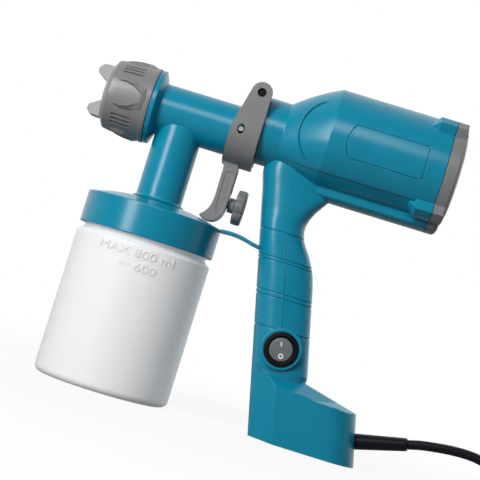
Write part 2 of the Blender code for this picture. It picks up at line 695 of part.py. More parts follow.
# ---- Motor and turbine -------------------------------------------------------------------
def motor():
    place = (0, 0, MOTOR_Z)
    stator = turned("motor_stator", [(0.0290, 0.0960), (0.0290, 0.0560), (0.0182, 0.0560),
                                     (0.0182, 0.0960)], 24, STEEL, place, ALONG_X)
    for side in (-1, 1):
        flat = box("stator_flat", (0.05, side * 0.0330 - 0.0060, MOTOR_Z - 0.04),
                   (0.10, side * 0.0330 + 0.0060, MOTOR_Z + 0.04))
        cut(stator, flat)
    smooth(stator)
    shaft = [(0, 0.1120), (0.0025, 0.1120), (0.0025, 0.1060), (0.0035, 0.1060), (0.0035, 0.1020),
             (0.0095, 0.1020), (0.0095, 0.0965), (0.0060, 0.0965), (0.0060, 0.0930), (0.0174, 0.0930),
             (0.0174, 0.0590), (0.0060, 0.0590), (0.0060, 0.0530), (0.0035, 0.0530), (0.0035, 0.0200),
             (0, 0.0200)]
    turned("armature", shaft, 12, COPPER, place, ALONG_X, False)
    turned("front_bearing", [(0.0095, 0.0508), (0.0095, 0.0448), (0.0038, 0.0448), (0.0038, 0.0508)],
           12, STEEL, place, ALONG_X)
    turned("rear_bearing", [(0.0080, 0.1110), (0.0080, 0.1066), (0.0028, 0.1066), (0.0028, 0.1110)],
           12, STEEL, place, ALONG_X)
    turned("motor_front_bracket", [(0.0290, 0.0557), (0.0290, 0.0425), (0.0060, 0.0425),
                                   (0.0060, 0.0445), (0.0098, 0.0445), (0.0098, 0.0511),
                                   (0.0260, 0.0511), (0.0260, 0.0557)], 16, BLACK, place, ALONG_X)
    turned("motor_rear_bracket", [(0.0290, 0.1130), (0.0290, 0.0963), (0.0260, 0.0963),
                                  (0.0260, 0.1060), (0.0083, 0.1060), (0.0083, 0.1130)],
           16, BLACK, place, ALONG_X)
    turned("motor_mount", [(0.0355, 0.0520), (0.0355, 0.0440), (0.0293, 0.0440), (0.0293, 0.0520)],
           16, RUBBER, place, ALONG_X)
    turned("rear_motor_mount", [(0.0355, 0.1100), (0.0355, 0.1020), (0.0293, 0.1020), (0.0293, 0.1100)],
           16, RUBBER, place, ALONG_X)
    for number, side in ((1, -1), (2, 1)):
        box(f"carbon_brush_{number}", (0.0972, min(side * 0.0100, side * 0.0200), MOTOR_Z - 0.0030),
            (0.1012, max(side * 0.0100, side * 0.0200), MOTOR_Z + 0.0030), BLACK)
    turned("air_filter", [(0, 0.1330), (0.0325, 0.1330), (0.0325, 0.1240), (0, 0.1240)], 28, FOAM,
           place, ALONG_X, False)


def impeller():
    """Turbine wheel with swept blades between its hub and its back plate."""
    wheel = turned("impeller", [(0.0260, 0.0400), (0.0260, 0.0385), (0.0090, 0.0375), (0.0070, 0.0270),
                                (0.0038, 0.0270), (0.0038, 0.0400)], 20, DARK_GREY,
                   (0, 0, MOTOR_Z), ALONG_X)
    blades = 7
    for k in range(blades):
        rings = []
        for i in range(4):
            share = i / 3
            radius = 0.0075 + 0.0177 * share
            sweep = 2 * pi * k / blades + 0.9 * share
            wide = Vector((0, -sin(sweep), cos(sweep))) * 0.0007
            centre = Vector((0, radius * cos(sweep), MOTOR_Z + radius * sin(sweep)))
            front = 0.0290 + 0.0020 * share
            rings.append([centre + wide + Vector((front, 0, 0)), centre - wide + Vector((front, 0, 0)),
                          centre - wide + Vector((0.0390, 0, 0)), centre + wide + Vector((0.0390, 0, 0))])
        join(wheel, loft("blade", rings))
    return smooth(wheel)


# ---- Barrel, lid and cup -----------------------------------------------------------------
def spray_barrel():
    """Barrel with its threaded front, the neck to the cup and the stepped bore for the needle."""
    profile = [(0.0154, 0.0090), (0.0154, BARREL_SHOULDER_X), (BARREL_RADIUS, BARREL_SHOULDER_X),
               (BARREL_RADIUS, -0.0844), (COLLAR_RADIUS, -0.0877), (COLLAR_RADIUS, COLLAR_FRONT_X),
               (0.0241, COLLAR_FRONT_X), (0.0241, -0.1120), (0.0205, -0.1120), (0.0205, -0.0960),
               (0.0100, -0.0960), (0.0100, -0.1060), (0.0058, -0.1060), (0.0058, -0.0960),
               (0.0042, -0.0960), (0.0042, -0.0440), (0.0028, -0.0440), (0.0028, -0.0400),
               (0.0092, -0.0400), (0.0092, 0.0090)]
    barrel = turned("spray_barrel", profile, 18, BLUE, (0, 0, SPRAY_Z), ALONG_X)
    neck = turned("neck", [(0, SPRAY_Z - 0.0100), (NECK_RADIUS, SPRAY_Z - 0.0100),
                           (NECK_RADIUS, LID_TOP_Z + 0.0036), (0.0196, LID_TOP_Z + 0.0024),
                           (0.0196, LID_TOP_Z + SEAM), (0.0088, LID_TOP_Z + SEAM),
                           (0.0088, 0.1230), (0, 0.1230)], 18, None, (CUP_X, 0, 0), (0, 0, 0), False)
    join(barrel, neck)
    feed = rod("feed", 0.0036, 0.1200, SPRAY_Z, 12, None, (CUP_X, 0), "Z")
    socket = rod("tube_socket", 0.0053, 0.1200, 0.1380, 16, None, (CUP_X, 0), "Z")
    slot = box("pin_slot", (CROSS_PIN_X - 0.0026, -0.03, SPRAY_Z - 0.0024),
               (CROSS_PIN_X + 0.0066, 0.03, SPRAY_Z + 0.0024))
    cut(barrel, feed, socket, slot)
    return smooth(barrel)


def cup_lid():
    """Lid: low dome over a skirt that screws on the cup."""
    inner = CUP_NECK_RADIUS + 0.0006
    profile = [(0.0091, LID_TOP_Z), (0.0198, LID_TOP_Z), (0.0206, LID_TOP_Z - 0.0004),
               (0.0300, LID_TOP_Z - 0.0016), (0.0380, LID_TOP_Z - 0.0031), (0.0440, LID_TOP_Z - 0.0048),
               (CUP_RADIUS - 0.0010, LID_EDGE_Z), (CUP_RADIUS, LID_EDGE_Z - 0.0008),
               (CUP_RADIUS, LID_BOTTOM_Z + 0.0006),
               (CUP_RADIUS - 0.0006, LID_BOTTOM_Z), (inner, LID_BOTTOM_Z), (inner, 0.1333),
               (0.0400, 0.1362), (0.0200, 0.1388), (0.0130, 0.1388), (0.0130, 0.1290), (0.0091, 0.1290)]
    return turned("cup_lid", profile, 28, BLUE, (CUP_X, 0, 0))


def cup_gasket():
    profile = [(CUP_NECK_RADIUS - 0.0002, 0.1331), (CUP_NECK_RADIUS - 0.0002, CUP_RIM_Z + 0.0003),
               (CUP_NECK_RADIUS - 0.0046, CUP_RIM_Z + 0.0003), (CUP_NECK_RADIUS - 0.0046, 0.1331)]
    return turned("cup_gasket", profile, 24, RUBBER, (CUP_X, 0, 0))


def cup():
    """Open cup: necked rim, shoulder, straight wall, rounded foot and dished base."""
    inner = CUP_RADIUS - CUP_WALL
    neck_inner = CUP_NECK_RADIUS - CUP_WALL
    corner = 0.0050
    outer_corner = [(CUP_RADIUS - corner + corner * cos(a), corner - corner * sin(a))
                    for a in (0, pi / 4, pi / 2)]
    inner_corner = [(inner - corner + corner * cos(a), 0.0040 + corner - corner * sin(a))
                    for a in (pi / 2, pi / 4, 0)]
    outside = [(CUP_NECK_RADIUS, CUP_RIM_Z), (CUP_NECK_RADIUS, 0.1108), (CUP_RADIUS - 0.0012, 0.1088),
               (CUP_RADIUS, CUP_SHOULDER_Z)]
    inside = [(inner, 0.1062), (neck_inner, 0.1098), (neck_inner, CUP_RIM_Z)]
    base = [(0.0380, 0.0), (0.0365, 0.0014), (0, 0.0014)]
    profile = [(0, 0.0040)] + inner_corner + inside + outside + outer_corner + base
    return turned("cup", profile, 28, WHITE, (CUP_X, 0, 0), (0, 0, 0), False)


def suction_tube():
    """Pickup tube that bends forward to the front corner of the cup."""
    points = [Vector((CUP_X, 0, 0.1376)), Vector((CUP_X, 0, 0.1200)), Vector((CUP_X, 0, 0.0950)),
              Vector((CUP_X - 0.0030, 0, 0.0780)), Vector((CUP_X - 0.0110, 0, 0.0600)),
              Vector((CUP_X - 0.0240, 0, 0.0360)), Vector((CUP_X - 0.0330, 0, 0.0190))]
    made = tube("suction_tube", points, 0.0047, WHITE, 12)
    bore = tube("suction_bore", [points[0] + Vector((0, 0, 0.002))] + points[1:-1]
                + [points[-1] * 2 - points[-2]], 0.0030, WHITE, 8)
    return smooth(cut(made, bore), 50)


def suction_strainer():
    """Strainer cap on the end of the pickup tube."""
    tip = Vector((CUP_X - 0.0330, 0, 0.0190))
    way = (tip - Vector((CUP_X - 0.0240, 0, 0.0360))).normalized()
    profile = [(0, -0.0036), (0.0050, -0.0036), (0.0050, 0.0080), (0.0068, 0.0080),
               (0.0068, -0.0040), (0.0060, -0.0052), (0, -0.0052)]
    strainer = turned("suction_strainer", profile, 20, WHITE, (0, 0, 0), (0, 0, 0), False)
    strainer.location = tip
    strainer.rotation_euler = (-way).to_track_quat("Z", "Y").to_euler()
    return strainer


def cup_bridge():
    """Arched strap between the lid's rear edge and the front of the handle."""
    rings = []
    for i in range(7):
        share = i / 6
        x = -0.0200 + 0.0400 * share
        z = 0.1355 + 0.0012 * sin(pi * min(1, share * 1.4)) - 0.0040 * share ** 2.5
        slope = 0.0013
        rings.append([(x, -0.0080, z - slope), (x, 0.0080, z - slope),
                      (x, 0.0080, z + slope), (x, -0.0080, z + slope)])
    bridge = loft("cup_bridge", rings, BLUE)
    lid = rod("lid_clear", CUP_RADIUS + SEAM + 0.0003, 0.10, 0.15, 24, None, (CUP_X, 0), "Z")
    grip = loft("handle_clear", [handle_ring(level, -SEAM) for level in (0.1450, 0.1250)])
    return cut(bridge, lid, grip)


# ---- Spray head --------------------------------------------------------------------------
NUT_SLOT_X = (-0.1189, -0.1035)
NUT_SLOT_GROUPS = (50, 140, 230, 320)       # degrees, from the near side up round the spray axis
NUT_SLOT_ANGLE = 8.5
NUT_RIDGES = ((27, 22), (-11, -6))          # each pair's front and rear ends, in degrees from its middle
NUT_RIDGE_MIDDLES = (0, 90, 180, 270)


def round_spray_axis(degrees):
    """Turns a shape modelled above the spray axis to its place round it."""
    return Matrix.Translation((0, 0, SPRAY_Z)) @ Matrix.Rotation(radians(90 - degrees), 4, "X")


def nut_ridge(front, rear):
    """A low sloping ridge along the nut, higher at its outer edge."""
    rings = []
    for x, degrees, radius in ((-0.1215, front, 0.0258), (-0.1060, rear, 0.0274)):
        aside = radians(degrees)
        out = Vector((0, -cos(aside), sin(aside)))
        over = Vector((0, sin(aside), cos(aside)))
        centre = Vector((x, 0, SPRAY_Z)) + out * radius
        rings.append([centre - out * 0.0015 - over * 0.0013, centre - out * 0.0015 + over * 0.0013,
                      centre + out * 0.0006 + over * 0.0004, centre + out * 0.0006 - over * 0.0004])
    return loft("nut_ridge", rings)


def retaining_nut():
    """Nut that clamps the air cap, with grip slots in groups of three and sloping ridges between."""
    profile = [(0.0280, COLLAR_FRONT_X - 0.0003), (0.0278, -0.1010), (0.0267, -0.1174),
               (0.0255, -0.1233), (0.0213, NUT_FRONT_X), (0.0204, NUT_FRONT_X + 0.0002),
               (0.0204, -0.1228), (0.0245, -0.1228), (0.0245, COLLAR_FRONT_X - 0.0003)]
    nut = turned("retaining_nut", profile, 28, GREY, (0, 0, SPRAY_Z), ALONG_X)
    for middle in NUT_RIDGE_MIDDLES:
        for front, rear in NUT_RIDGES:
            join(nut, nut_ridge(middle + front, middle + rear))
    for group in NUT_SLOT_GROUPS:
        for step in (-1, 0, 1):
            slot = box("nut_slot", (NUT_SLOT_X[0], -0.0008, 0.0262), (NUT_SLOT_X[1], 0.0008, 0.0300))
            slot.matrix_world = round_spray_axis(group + step * NUT_SLOT_ANGLE) @ \
                Matrix.Translation(slot.location)
            cut(nut, slot)
    return smooth(nut)


def horn(up):
    """One of the two ears that flatten the spray."""
    rings = []
    for x, low, high, half in ((-0.1200, 0.0058, 0.0192, 0.0062), (-0.1262, 0.0060, 0.0194, 0.0060),
                               (-0.1340, 0.0066, 0.0196, 0.0052), (HORN_TIP_X, 0.0076, 0.0188, 0.0044)):
        rings.append([(x, -half, SPRAY_Z + up * low), (x, half, SPRAY_Z + up * low),
                      (x, half, SPRAY_Z + up * (high - 0.002)), (x, half * 0.6, SPRAY_Z + up * high),
                      (x, -half * 0.6, SPRAY_Z + up * high), (x, -half, SPRAY_Z + up * (high - 0.002))])
    return loft("horn", rings)


def air_cap():
    profile = [(0.0200, -0.1224), (0.0200, -0.1262), (0.0192, -0.1268), (0.0085, -0.1268),
               (0.0062, -0.1290), (0.0024, -0.1290), (0.0024, -0.1276), (0.0062, -0.1250),
               (0.0150, -0.1225), (0.0150, -0.1180), (0.0236, -0.1180), (0.0236, -0.1224)]
    cap = turned("air_cap", profile, 20, LIGHT_GREY, (0, 0, SPRAY_Z), ALONG_X)
    join(cap, horn(1), horn(-1))
    return smooth(cap)


def nozzle_and_needle():
    place = (0, 0, SPRAY_Z)
    turned("fluid_nozzle", [(0.0098, -0.1064), (0.0098, -0.1140), (0.0046, -0.1180), (0.0040, -0.1226),
                            (0.0014, -0.1284), (0.0009, -0.1284), (0.0009, -0.1266),
                            (0.0034, -0.1180), (0.0034, -0.0985), (0.0054, -0.0985),
                            (0.0054, -0.1064)], 12, BRASS, place, ALONG_X)
    turned("needle", [(0, -0.0100), (0.0024, -0.0100), (0.0024, -0.0160), (0.0062, -0.0160),
                      (0.0062, -0.0285), (0.0024, -0.0285), (0.0024, -0.1120), (0.0016, -0.1150),
                      (0.0016, -0.1230), (0.0003, -0.1265), (0, -0.1265)], 12, STEEL, place, ALONG_X, False)
    needle = bpy.data.objects["needle"]
    cut(needle, rod("cross_hole", 0.0022, -0.01, 0.01, 8, None, (CROSS_PIN_X, SPRAY_Z), "Y"))
    rod("needle_cross_pin", 0.0019, -0.0272, 0.0272, 12, STEEL, (CROSS_PIN_X, SPRAY_Z), "Y")
    turned("needle_seal", [(0.0040, -0.0445), (0.0040, -0.0505), (0.0027, -0.0505), (0.0027, -0.0445)],
           16, WHITE, place, ALONG_X)
    turned("spring_cap", [(0, 0.0085), (0.0088, 0.0085), (0.0088, 0.0056), (0.0032, 0.0056),
                          (0.0032, -0.0010), (0, -0.0010)], 14, BLACK, place, ALONG_X, False)


def needle_spring():
    """Spring that closes the needle: coils from a formula, about the spray axis."""
    curls = 4
    per_curl = 8
    points = []
    start, end = -0.0151, 0.0047
    for i in range(curls * per_curl + 1):
        share = i / (curls * per_curl)
        angle = 2 * pi * curls * share
        points.append(Vector((start + (end - start) * share, 0.0046 * cos(angle),
                              SPRAY_Z + 0.0046 * sin(angle))))
    return tube("needle_spring", points, 0.0006, STEEL, 6)


# ---- Trigger -----------------------------------------------------------------------------
def yoke_section(half_width, bottom, top):
    """Half of a U across the barrel: straight sides over a round bottom, (y, z) points."""
    bend_z = bottom + half_width
    points = [(half_width, top)]
    for i in range(11):
        angle = -pi * i / 10
        points.append((half_width * cos(angle), bend_z + half_width * sin(angle)))
    points.append((-half_width, top))
    return points


def trigger():
    """Yoke round the barrel with the finger lever below it, one moulding."""
    outer = yoke_section(YOKE_INNER + YOKE_WALL, 0.1842, 0.2600)
    inner = yoke_section(YOKE_INNER, 0.1874, 0.2650)
    yoke = loft("trigger", [[(x, y, z) for y, z in outer] for x in (-0.0450, 0.0100)], GREY)
    cut(yoke, loft("yoke_room", [[(x, y, z) for y, z in inner] for x in (-0.0500, 0.0150)]))
    side = arc((PIVOT_X, PIVOT_Z), 0.0077, 8, 172, 9)
    side += [(-0.0302, 0.2110), (-0.0304, 0.1870), (-0.0290, 0.1800), (-0.0080, 0.1800),
             (-0.0080, 0.2350)]
    combine(yoke, plate("yoke_side", side, 0.04), "INTERSECT")
    lever_side = [(-0.0300, 0.1862), (-0.0284, 0.1842), (-0.0275, 0.1810), (-0.0273, 0.1590),
                  (-0.0279, 0.1530), (-0.0296, 0.1485), (-0.0322, 0.1453), (-0.0349, 0.1428),
                  (-0.0322, 0.1413), (-0.0280, 0.1405), (-0.0248, 0.1408), (-0.0218, 0.1424),
                  (-0.0190, 0.1456), (-0.0173, 0.1500), (-0.0168, 0.1550), (-0.0168, 0.1862)]
    lever = plate("lever", lever_side, LEVER_HALF_WIDTH, None, 0.0014)
    join(yoke, lever)
    pocket_side = [(-0.0140, 0.1820), (-0.0215, 0.1820), (-0.0215, 0.1640), (-0.0140, 0.1640)]
    cut(yoke, plate("lever_pocket", pocket_side, LEVER_HALF_WIDTH - 0.0024))
    hole = rod("screw_hole", 0.0030 + PLAY, -0.0240, -0.0100, 14, None, (0, KNOB_Z))
    pivot = rod("pivot_bore", PIN_RADIUS + PLAY, -0.04, 0.04, 14, None, (PIVOT_X, PIVOT_Z), "Y")
    oval = plate("pin_window", [(CROSS_PIN_X + 0.0026 * cos(a), SPRAY_Z + 0.0036 * sin(a))
                                for a in [2 * pi * i / 12 for i in range(12)]], 0.04)
    cut(yoke, hole, pivot, oval)
    pin_end = YOKE_INNER + 0.0010
    rod("trigger_pin", PIN_RADIUS, -pin_end, pin_end, 16, BLACK, (PIVOT_X, PIVOT_Z), "Y")
    return smooth(yoke)


def flow_control():
    """Screw through the lever and the lobed knob that turns it."""
    turned("flow_screw", [(0, -0.0080), (0.0024, -0.0080), (0.0024, -0.0119), (0.0055, -0.0119),
                          (0.0055, -0.0162), (0.0029, -0.0162), (0.0029, -0.0232), (0, -0.0232)],
           16, BLACK, (0, 0, KNOB_Z), ALONG_X, False)
    lobes = 8
    count = lobes * 4
    stations = ((-0.0116, 0.93), (-0.0106, 1.0), (-0.0056, 1.0), (-0.0042, 0.90))
    rings = []
    for x, share in stations:
        ring = []
        for i in range(count):
            angle = 2 * pi * i / count
            radius = KNOB_RADIUS * share * (0.965 + 0.035 * cos(lobes * angle))
            ring.append((x, radius * sin(angle), radius * cos(angle)))
        rings.append(ring)
    knob = loft("flow_knob", rings, DARK_GREY, (0, 0, KNOB_Z))
    cut(knob, rod("knob_bore", 0.0024 + SEAM, -0.0200, -0.0076, 16, None, (0, KNOB_Z)))
    return smooth(knob)


# ---- Switch and cord ---------------------------------------------------------------------
def switch():
    """Round rocker switch on the near side of the handle; its rocker rests tipped to off."""
    centre = on_handle(SWITCH_DOWN, HANDLE_DEPTH / 2)
    face = -0.0214
    profile = [(0, 0.0010), (0.0085, 0.0010), (0.0110, -0.0080), (0.0110, -0.0206),
               (SWITCH_BEZEL_RADIUS, -0.0206), (SWITCH_BEZEL_RADIUS - 0.0004, face),
               (0.0098, face - 0.0004), (0.0093, face), (0.0093, -0.0120), (0, -0.0120)]
    turned("switch_body", profile, 20, BLACK, (centre.x, 0, centre.z), ALONG_Y, False)
    cap = [(0, -0.0226), (0.0060, -0.0226), (0.0082, -0.0222), (0.0087, -0.0214), (0.0087, -0.0168),
           (0.0070, -0.0150), (0, -0.0150)]
    hinge_y = -0.0180
    rocker = turned("switch_rocker", [(radius, y - hinge_y) for radius, y in reversed(cap)], 20, GREY,
                    (0, 0, 0), (0, 0, 0), False)
    tip = Matrix.Rotation(ROCKER_TIP, 4, HANDLE_BACK)
    rocker.matrix_world = Matrix.Translation((centre.x, hinge_y, centre.z)) @ tip @ \
        Matrix.Rotation(-pi / 2, 4, "X")
    return rocker


def strain_relief():
    """Tapered boot in the foot's rear wall, ending where the cord leaves it."""
    base = on_handle(RELIEF_DOWN, FOOT_DEPTH)
    profile = [(0, RELIEF_LENGTH), (0.0042, RELIEF_LENGTH), (0.0048, RELIEF_LENGTH - 0.0015),
               (0.0058, 0.0020), (0.0060, SEAM), (GLAND_RADIUS, SEAM),
               (GLAND_RADIUS, -SHELL_WALL - 4 * SEAM),
               (0.0075, -SHELL_WALL - 4 * SEAM), (0.0075, -0.0064), (0, -0.0064)]
    relief = turned("strain_relief", profile, 16, RUBBER, (0, 0, 0), (0, 0, 0), False)
    relief.matrix_world = Matrix.Translation(base) @ \
        HANDLE_BACK.to_track_quat("Z", "Y").to_matrix().to_4x4()
    return relief


def coil_points():
    """Centre line of the coil: in along the floor, up a layer, and out again."""
    per_loop = 24
    total = int(round(COIL_TURNS * per_loop))
    half = total / 2
    spread = (COIL_TURNS / 2) * COIL_PITCH / 2
    points = []
    for i in range(total + 1):
        angle = COIL_START + 2 * pi * i / per_loop
        share = abs(i - half) / half
        radius = COIL_MEAN_RADIUS - spread + 2 * spread * share
        climb = (i - half) / (per_loop / 4)
        lift = min(1.0, max(0.0, (climb + 1) / 2))
        lift = lift * lift * (3 - 2 * lift)
        z = CORD_RADIUS + 0.0002 + COIL_PITCH * lift
        points.append(COIL_CENTRE + Vector((radius * cos(angle), radius * sin(angle), z)))
    return points


def least_gap(points, radius, skip):
    """Smallest surface gap between stretches of a tube that aren't next to each other."""
    least = 1.0
    for i, first in enumerate(points):
        for second in points[i + skip:]:
            least = min(least, (second - first).length - 2 * radius)
    return least


def straight_end(points, at_start, length):
    """Add a straight stretch of one diameter to an end of a line."""
    if at_start:
        way = (points[0] - points[1]).normalized()
        return [points[0] + way * length] + points
    way = (points[-1] - points[-2]).normalized()
    return points + [points[-1] + way * length]


def cord():
    relief_end = on_handle(RELIEF_DOWN, FOOT_DEPTH + RELIEF_LENGTH)
    coil = coil_points()
    coil = straight_end(straight_end(coil, True, 2 * CORD_RADIUS), False, 2 * CORD_RADIUS)
    print("coil: least gap between turns", round(least_gap(coil, CORD_RADIUS, 8) * 1000, 2), "mm")
    first = relief_end + HANDLE_BACK * SEAM
    meet = coil[0] + (coil[0] - coil[1]).normalized() * SEAM
    entry = (coil[1] - coil[0]).normalized()
    route = [first, first + HANDLE_BACK * 0.012, Vector((0.1946, 0.0, 0.0330)),
             Vector((0.2130, -0.0005, 0.0324)), Vector((0.2310, -0.0050, 0.0268)),
             Vector((0.2480, -0.0150, 0.0165)), Vector((0.2650, -0.0280, 0.0080)),
             Vector((0.2850, -0.0415, 0.0042)), meet - entry * 0.014 + Vector((0, 0.0012, 0)), meet]
    run = smooth_path(route, 0.0090)
    leaving = (coil[-1] - coil[-2]).normalized()
    leave = coil[-1] + leaving * SEAM
    tail_end = leave + Vector((-0.0260, 0.0012, PLUG_HALF_HEIGHT + SEAM - leave.z))
    tail = smooth_path([leave, leave + leaving * 0.008, tail_end + Vector((0.0080, 0, 0)), tail_end], 0.0065)
    tube("cord_run", run, CORD_RADIUS, RUBBER, 8)
    tube("cord_coil", coil, CORD_RADIUS, RUBBER, 6)
    tube("cord_tail", tail, CORD_RADIUS, RUBBER, 8)
    length = path_length(run) + path_length(coil) + path_length(tail)
    print("cord: length", round(length, 4), "m of", CORD_LENGTH)
    way = (tail[-1] - tail[-2]).normalized()
    plug(tail_end + way * SEAM, way)


def plug(start, way):
    """Two-blade mains plug lying flat on the floor at the cord's end."""
    rings = []
    for along, half_w, half_h, round_w in ((0.0, 0.0048, 0.0048, 0.5), (0.0120, 0.0056, 0.0052, 0.5),
                                           (0.0200, 0.0110, 0.0078, 0.35),
                                           (0.0340, 0.0125, PLUG_HALF_HEIGHT, 0.3),
                                           (0.0360, 0.0120, 0.0080, 0.3)):
        ring = []
        for i in range(12):
            angle = 2 * pi * i / 12
            across = half_w * abs(cos(angle)) ** round_w * (1 if cos(angle) > 0 else -1)
            rise = half_h * abs(sin(angle)) ** round_w * (1 if sin(angle) > 0 else -1)
            ring.append((across, along, rise))
        rings.append(ring)
    body = loft("plug_body", rings, RUBBER)
    heading = Vector((way.x, way.y, 0)).normalized()
    body.matrix_world = Matrix.Translation(start) @ heading.to_track_quat("Y", "Z").to_matrix().to_4x4()
    for number, side in ((1, -1), (2, 1)):
        blade = box(f"plug_blade_{number}", (side * 0.00635 - 0.00075, 0.0363, -0.0032),
                    (side * 0.00635 + 0.00075, 0.0535, 0.0032), BRASS)
        blade.matrix_world = body.matrix_world @ Matrix.Translation(blade.location)


# ---- Build -------------------------------------------------------------------------------
def build():
    housing_shells()
    rear_cover()
    cover_screws()
    shell_screws()
    motor()
    impeller()
    spray_barrel()
    cup_lid()
    cup_gasket()
    cup()
    suction_tube()
    suction_strainer()
    cup_bridge()
    retaining_nut()
    air_cap()
    nozzle_and_needle()
    needle_spring()
    trigger()
    flow_control()
    switch()
    strain_relief()
    cord()
    for piece in PARTS.objects:
        merge_flat_faces(piece.data)
        smooth(piece)


build()
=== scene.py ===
"""Handheld paint sprayer: its looks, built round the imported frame. Metres, +Z up, nozzle towards -X."""
import json
from math import ceil, cos, pi, radians, sin, sqrt

import bmesh
import bpy
import numpy as np
from mathutils import Matrix, Vector


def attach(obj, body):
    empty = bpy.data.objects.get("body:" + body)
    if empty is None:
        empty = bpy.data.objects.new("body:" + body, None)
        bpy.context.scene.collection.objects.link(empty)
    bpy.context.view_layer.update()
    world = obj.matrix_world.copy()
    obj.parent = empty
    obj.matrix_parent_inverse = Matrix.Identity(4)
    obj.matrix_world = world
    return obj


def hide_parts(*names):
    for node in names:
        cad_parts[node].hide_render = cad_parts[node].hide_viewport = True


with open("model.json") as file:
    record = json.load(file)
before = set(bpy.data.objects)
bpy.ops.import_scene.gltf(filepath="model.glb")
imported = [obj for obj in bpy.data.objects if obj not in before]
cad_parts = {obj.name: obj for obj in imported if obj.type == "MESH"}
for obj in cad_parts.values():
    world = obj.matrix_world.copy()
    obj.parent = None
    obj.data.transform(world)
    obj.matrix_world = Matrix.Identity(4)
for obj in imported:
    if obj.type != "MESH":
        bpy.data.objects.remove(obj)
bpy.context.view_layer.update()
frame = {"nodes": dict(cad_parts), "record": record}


def mm(*points):
    """Points given in millimetres."""
    return [tuple(value / 1000 for value in point) for point in points]


WELD_GAP = 0.000002                 # points closer than this are one
SLIVER = 0.000001                   # edges shorter than this are dropped
CURVE_STEPS = 20                    # on each span of a smooth path
CORNERS = ((-1, -1), (-1, 1), (1, -1), (1, 1))      # side and up of the four cover screws

SEAM = 0.0003                       # gap between pieces that touch
PLAY = 0.0004                       # gap round a piece that moves

SPRAY_Z = 0.2097                    # height of the spray axis
CUP_X = -0.0666                     # cup, lid and neck share this upright axis
CUP_AXIS = Matrix.Translation((CUP_X, 0, 0))
CUP_RADIUS = 0.05065
CUP_WALL = 0.0022
CUP_NECK_RADIUS = 0.0463
CUP_SHOULDER_Z = 0.107
CUP_NECK_Z = 0.1112
CUP_FLOOR_Z = 0.004
CUP_RIM_Z = 0.131
MARK_RISE = 0.0008                  # how far the volume marks stand out
LID_BOTTOM_Z = 0.1135
LID_EDGE_Z = 0.137
LID_TOP_Z = 0.143
TUBE_RADII = (0.0047, 0.003)        # pickup tube, outside and inside

BARREL_RADIUS = 0.0191
BARREL_SHOULDER_X = -0.0087
COLLAR_RADIUS = 0.0275
COLLAR_FRONT_X = -0.0912
NECK_RADIUS = 0.01725
NUT_FRONT_X = -0.1255
HORN_JET_SLANT = radians(-32)
NUT_SLOT_PITCH = 8.0                # degrees between the slots of a group

NOSE_X = (-0.0081, 0.0073)          # ring of the housing that takes the barrel
NOSE_RADIUS = 0.025
NOSE_Z = 0.2162
MOTOR_X = (0.0404, 0.1257)          # straight part of the housing
MOTOR_RADIUS = 0.0389
MOTOR_Z = 0.2234
COVER_EDGE_X = 0.1341
REAR_X = 0.1372
SHELL_WALL = 0.0026
SLOT_PITCH = 0.01                   # between the air slots of the rear cover, which end on a circle
SLOT_REACH = 0.0275
CREASE_ANGLE = radians(134)         # step line on the housing's side, measured from the top
CREASE_STEP = 0.0008
KEEL_HALF_WIDTH = 0.014
KEEL_BOTTOM_Z = 0.1791
CHEEK_CENTRE = (0.0445, 0.2237)
CHEEK_RADIUS = 0.0268
CHEEK_STATIONS = mm((12, -1.7), (40.4, 0), (42.5, 1), (75, 3))      # x, and how far it stands out
BOSS_Y = 0.0262
BOSS_RISE = 0.0314
BOSS_FRONT_X = 0.1068
BOSS_REAR_X = 0.1339
POST_RADIUS = 0.0042                # of the screw posts between the shells
PANEL_X = (0.0531, 0.1113)          # bare panel outlined on the near side
PANEL_Z = (0.2108, 0.2356)

HANDLE_TOP = Vector((0.0, 0.0, 0.1916))
HANDLE_SLANT = radians(13.7)
HANDLE_DOWN = Vector((sin(HANDLE_SLANT), 0, -cos(HANDLE_SLANT)))
HANDLE_BACK = Vector((cos(HANDLE_SLANT), 0, sin(HANDLE_SLANT)))
HANDLE_DEPTH = 0.0412
HANDLE_STATIONS = mm(               # down the handle, front, back, half width
    (-12, 6, 50, 17.5), (2, 0, 60, 18), (15, 0, 58, 18), (25, 0, 49, 18), (34, 0, 39.5, 18), (44, 0, 33.5, 18),
    (54, 0, 33.2, 18.1), (66, 0, 37.5, 18.3), (80, 0, 40.8, 18.5), (115, 0, 41.2, 18.5), (210, 0, 41.2, 18.5))
HANDLE_TOP_Z = 0.201
WEB_TAPER = 0.42                    # how much the web behind the handle narrows to its rear
HANDLE_ROOM_LEVELS = (0.193, 0.184, 0.176, 0.1685, 0.161, 0.155, 0.0794, 0.05)
HANDLE_GROOVES = (0.1475, 0.1288, 0.1265, 0.1046, 0.1013, 0.0794)
HANDLE_FOOT_Z = (0.052, 0.044)      # where the handle starts to draw in over the foot, and its end
FOOT_DRAW_IN = 0.0022
GROOVE_HALF_WIDTH = 0.0006
GROOVE_DEPTH = 0.0007
FOOT_HALF_WIDTH = 0.024
FOOT_DEPTH = 0.078
FOOT_CROWN_HALF_WIDTH = 0.0104
FOOT_REAR_RADIUS = 0.0215
FOOT_RIDGE_BACK = 0.0185
FOOT_CROWN = (0.1372, 0.52)        # how far down the handle the foot's top starts, and its fall to the rear
FOOT_SIDES = (0.1529, 0.329)        # the same for the side edges of the top
SWITCH_DOWN = 0.1336
SWITCH_BEZEL_RADIUS = 0.013
ROCKER_TIP = radians(8)
ROCKER_HINGE_Y = -0.018
SHELL_SCREWS = mm(                  # down the handle, back, half post length
    (35, 15, 15), (85, 28, 14.8), (176, 26, 22.5), (188, 62, 20.3))

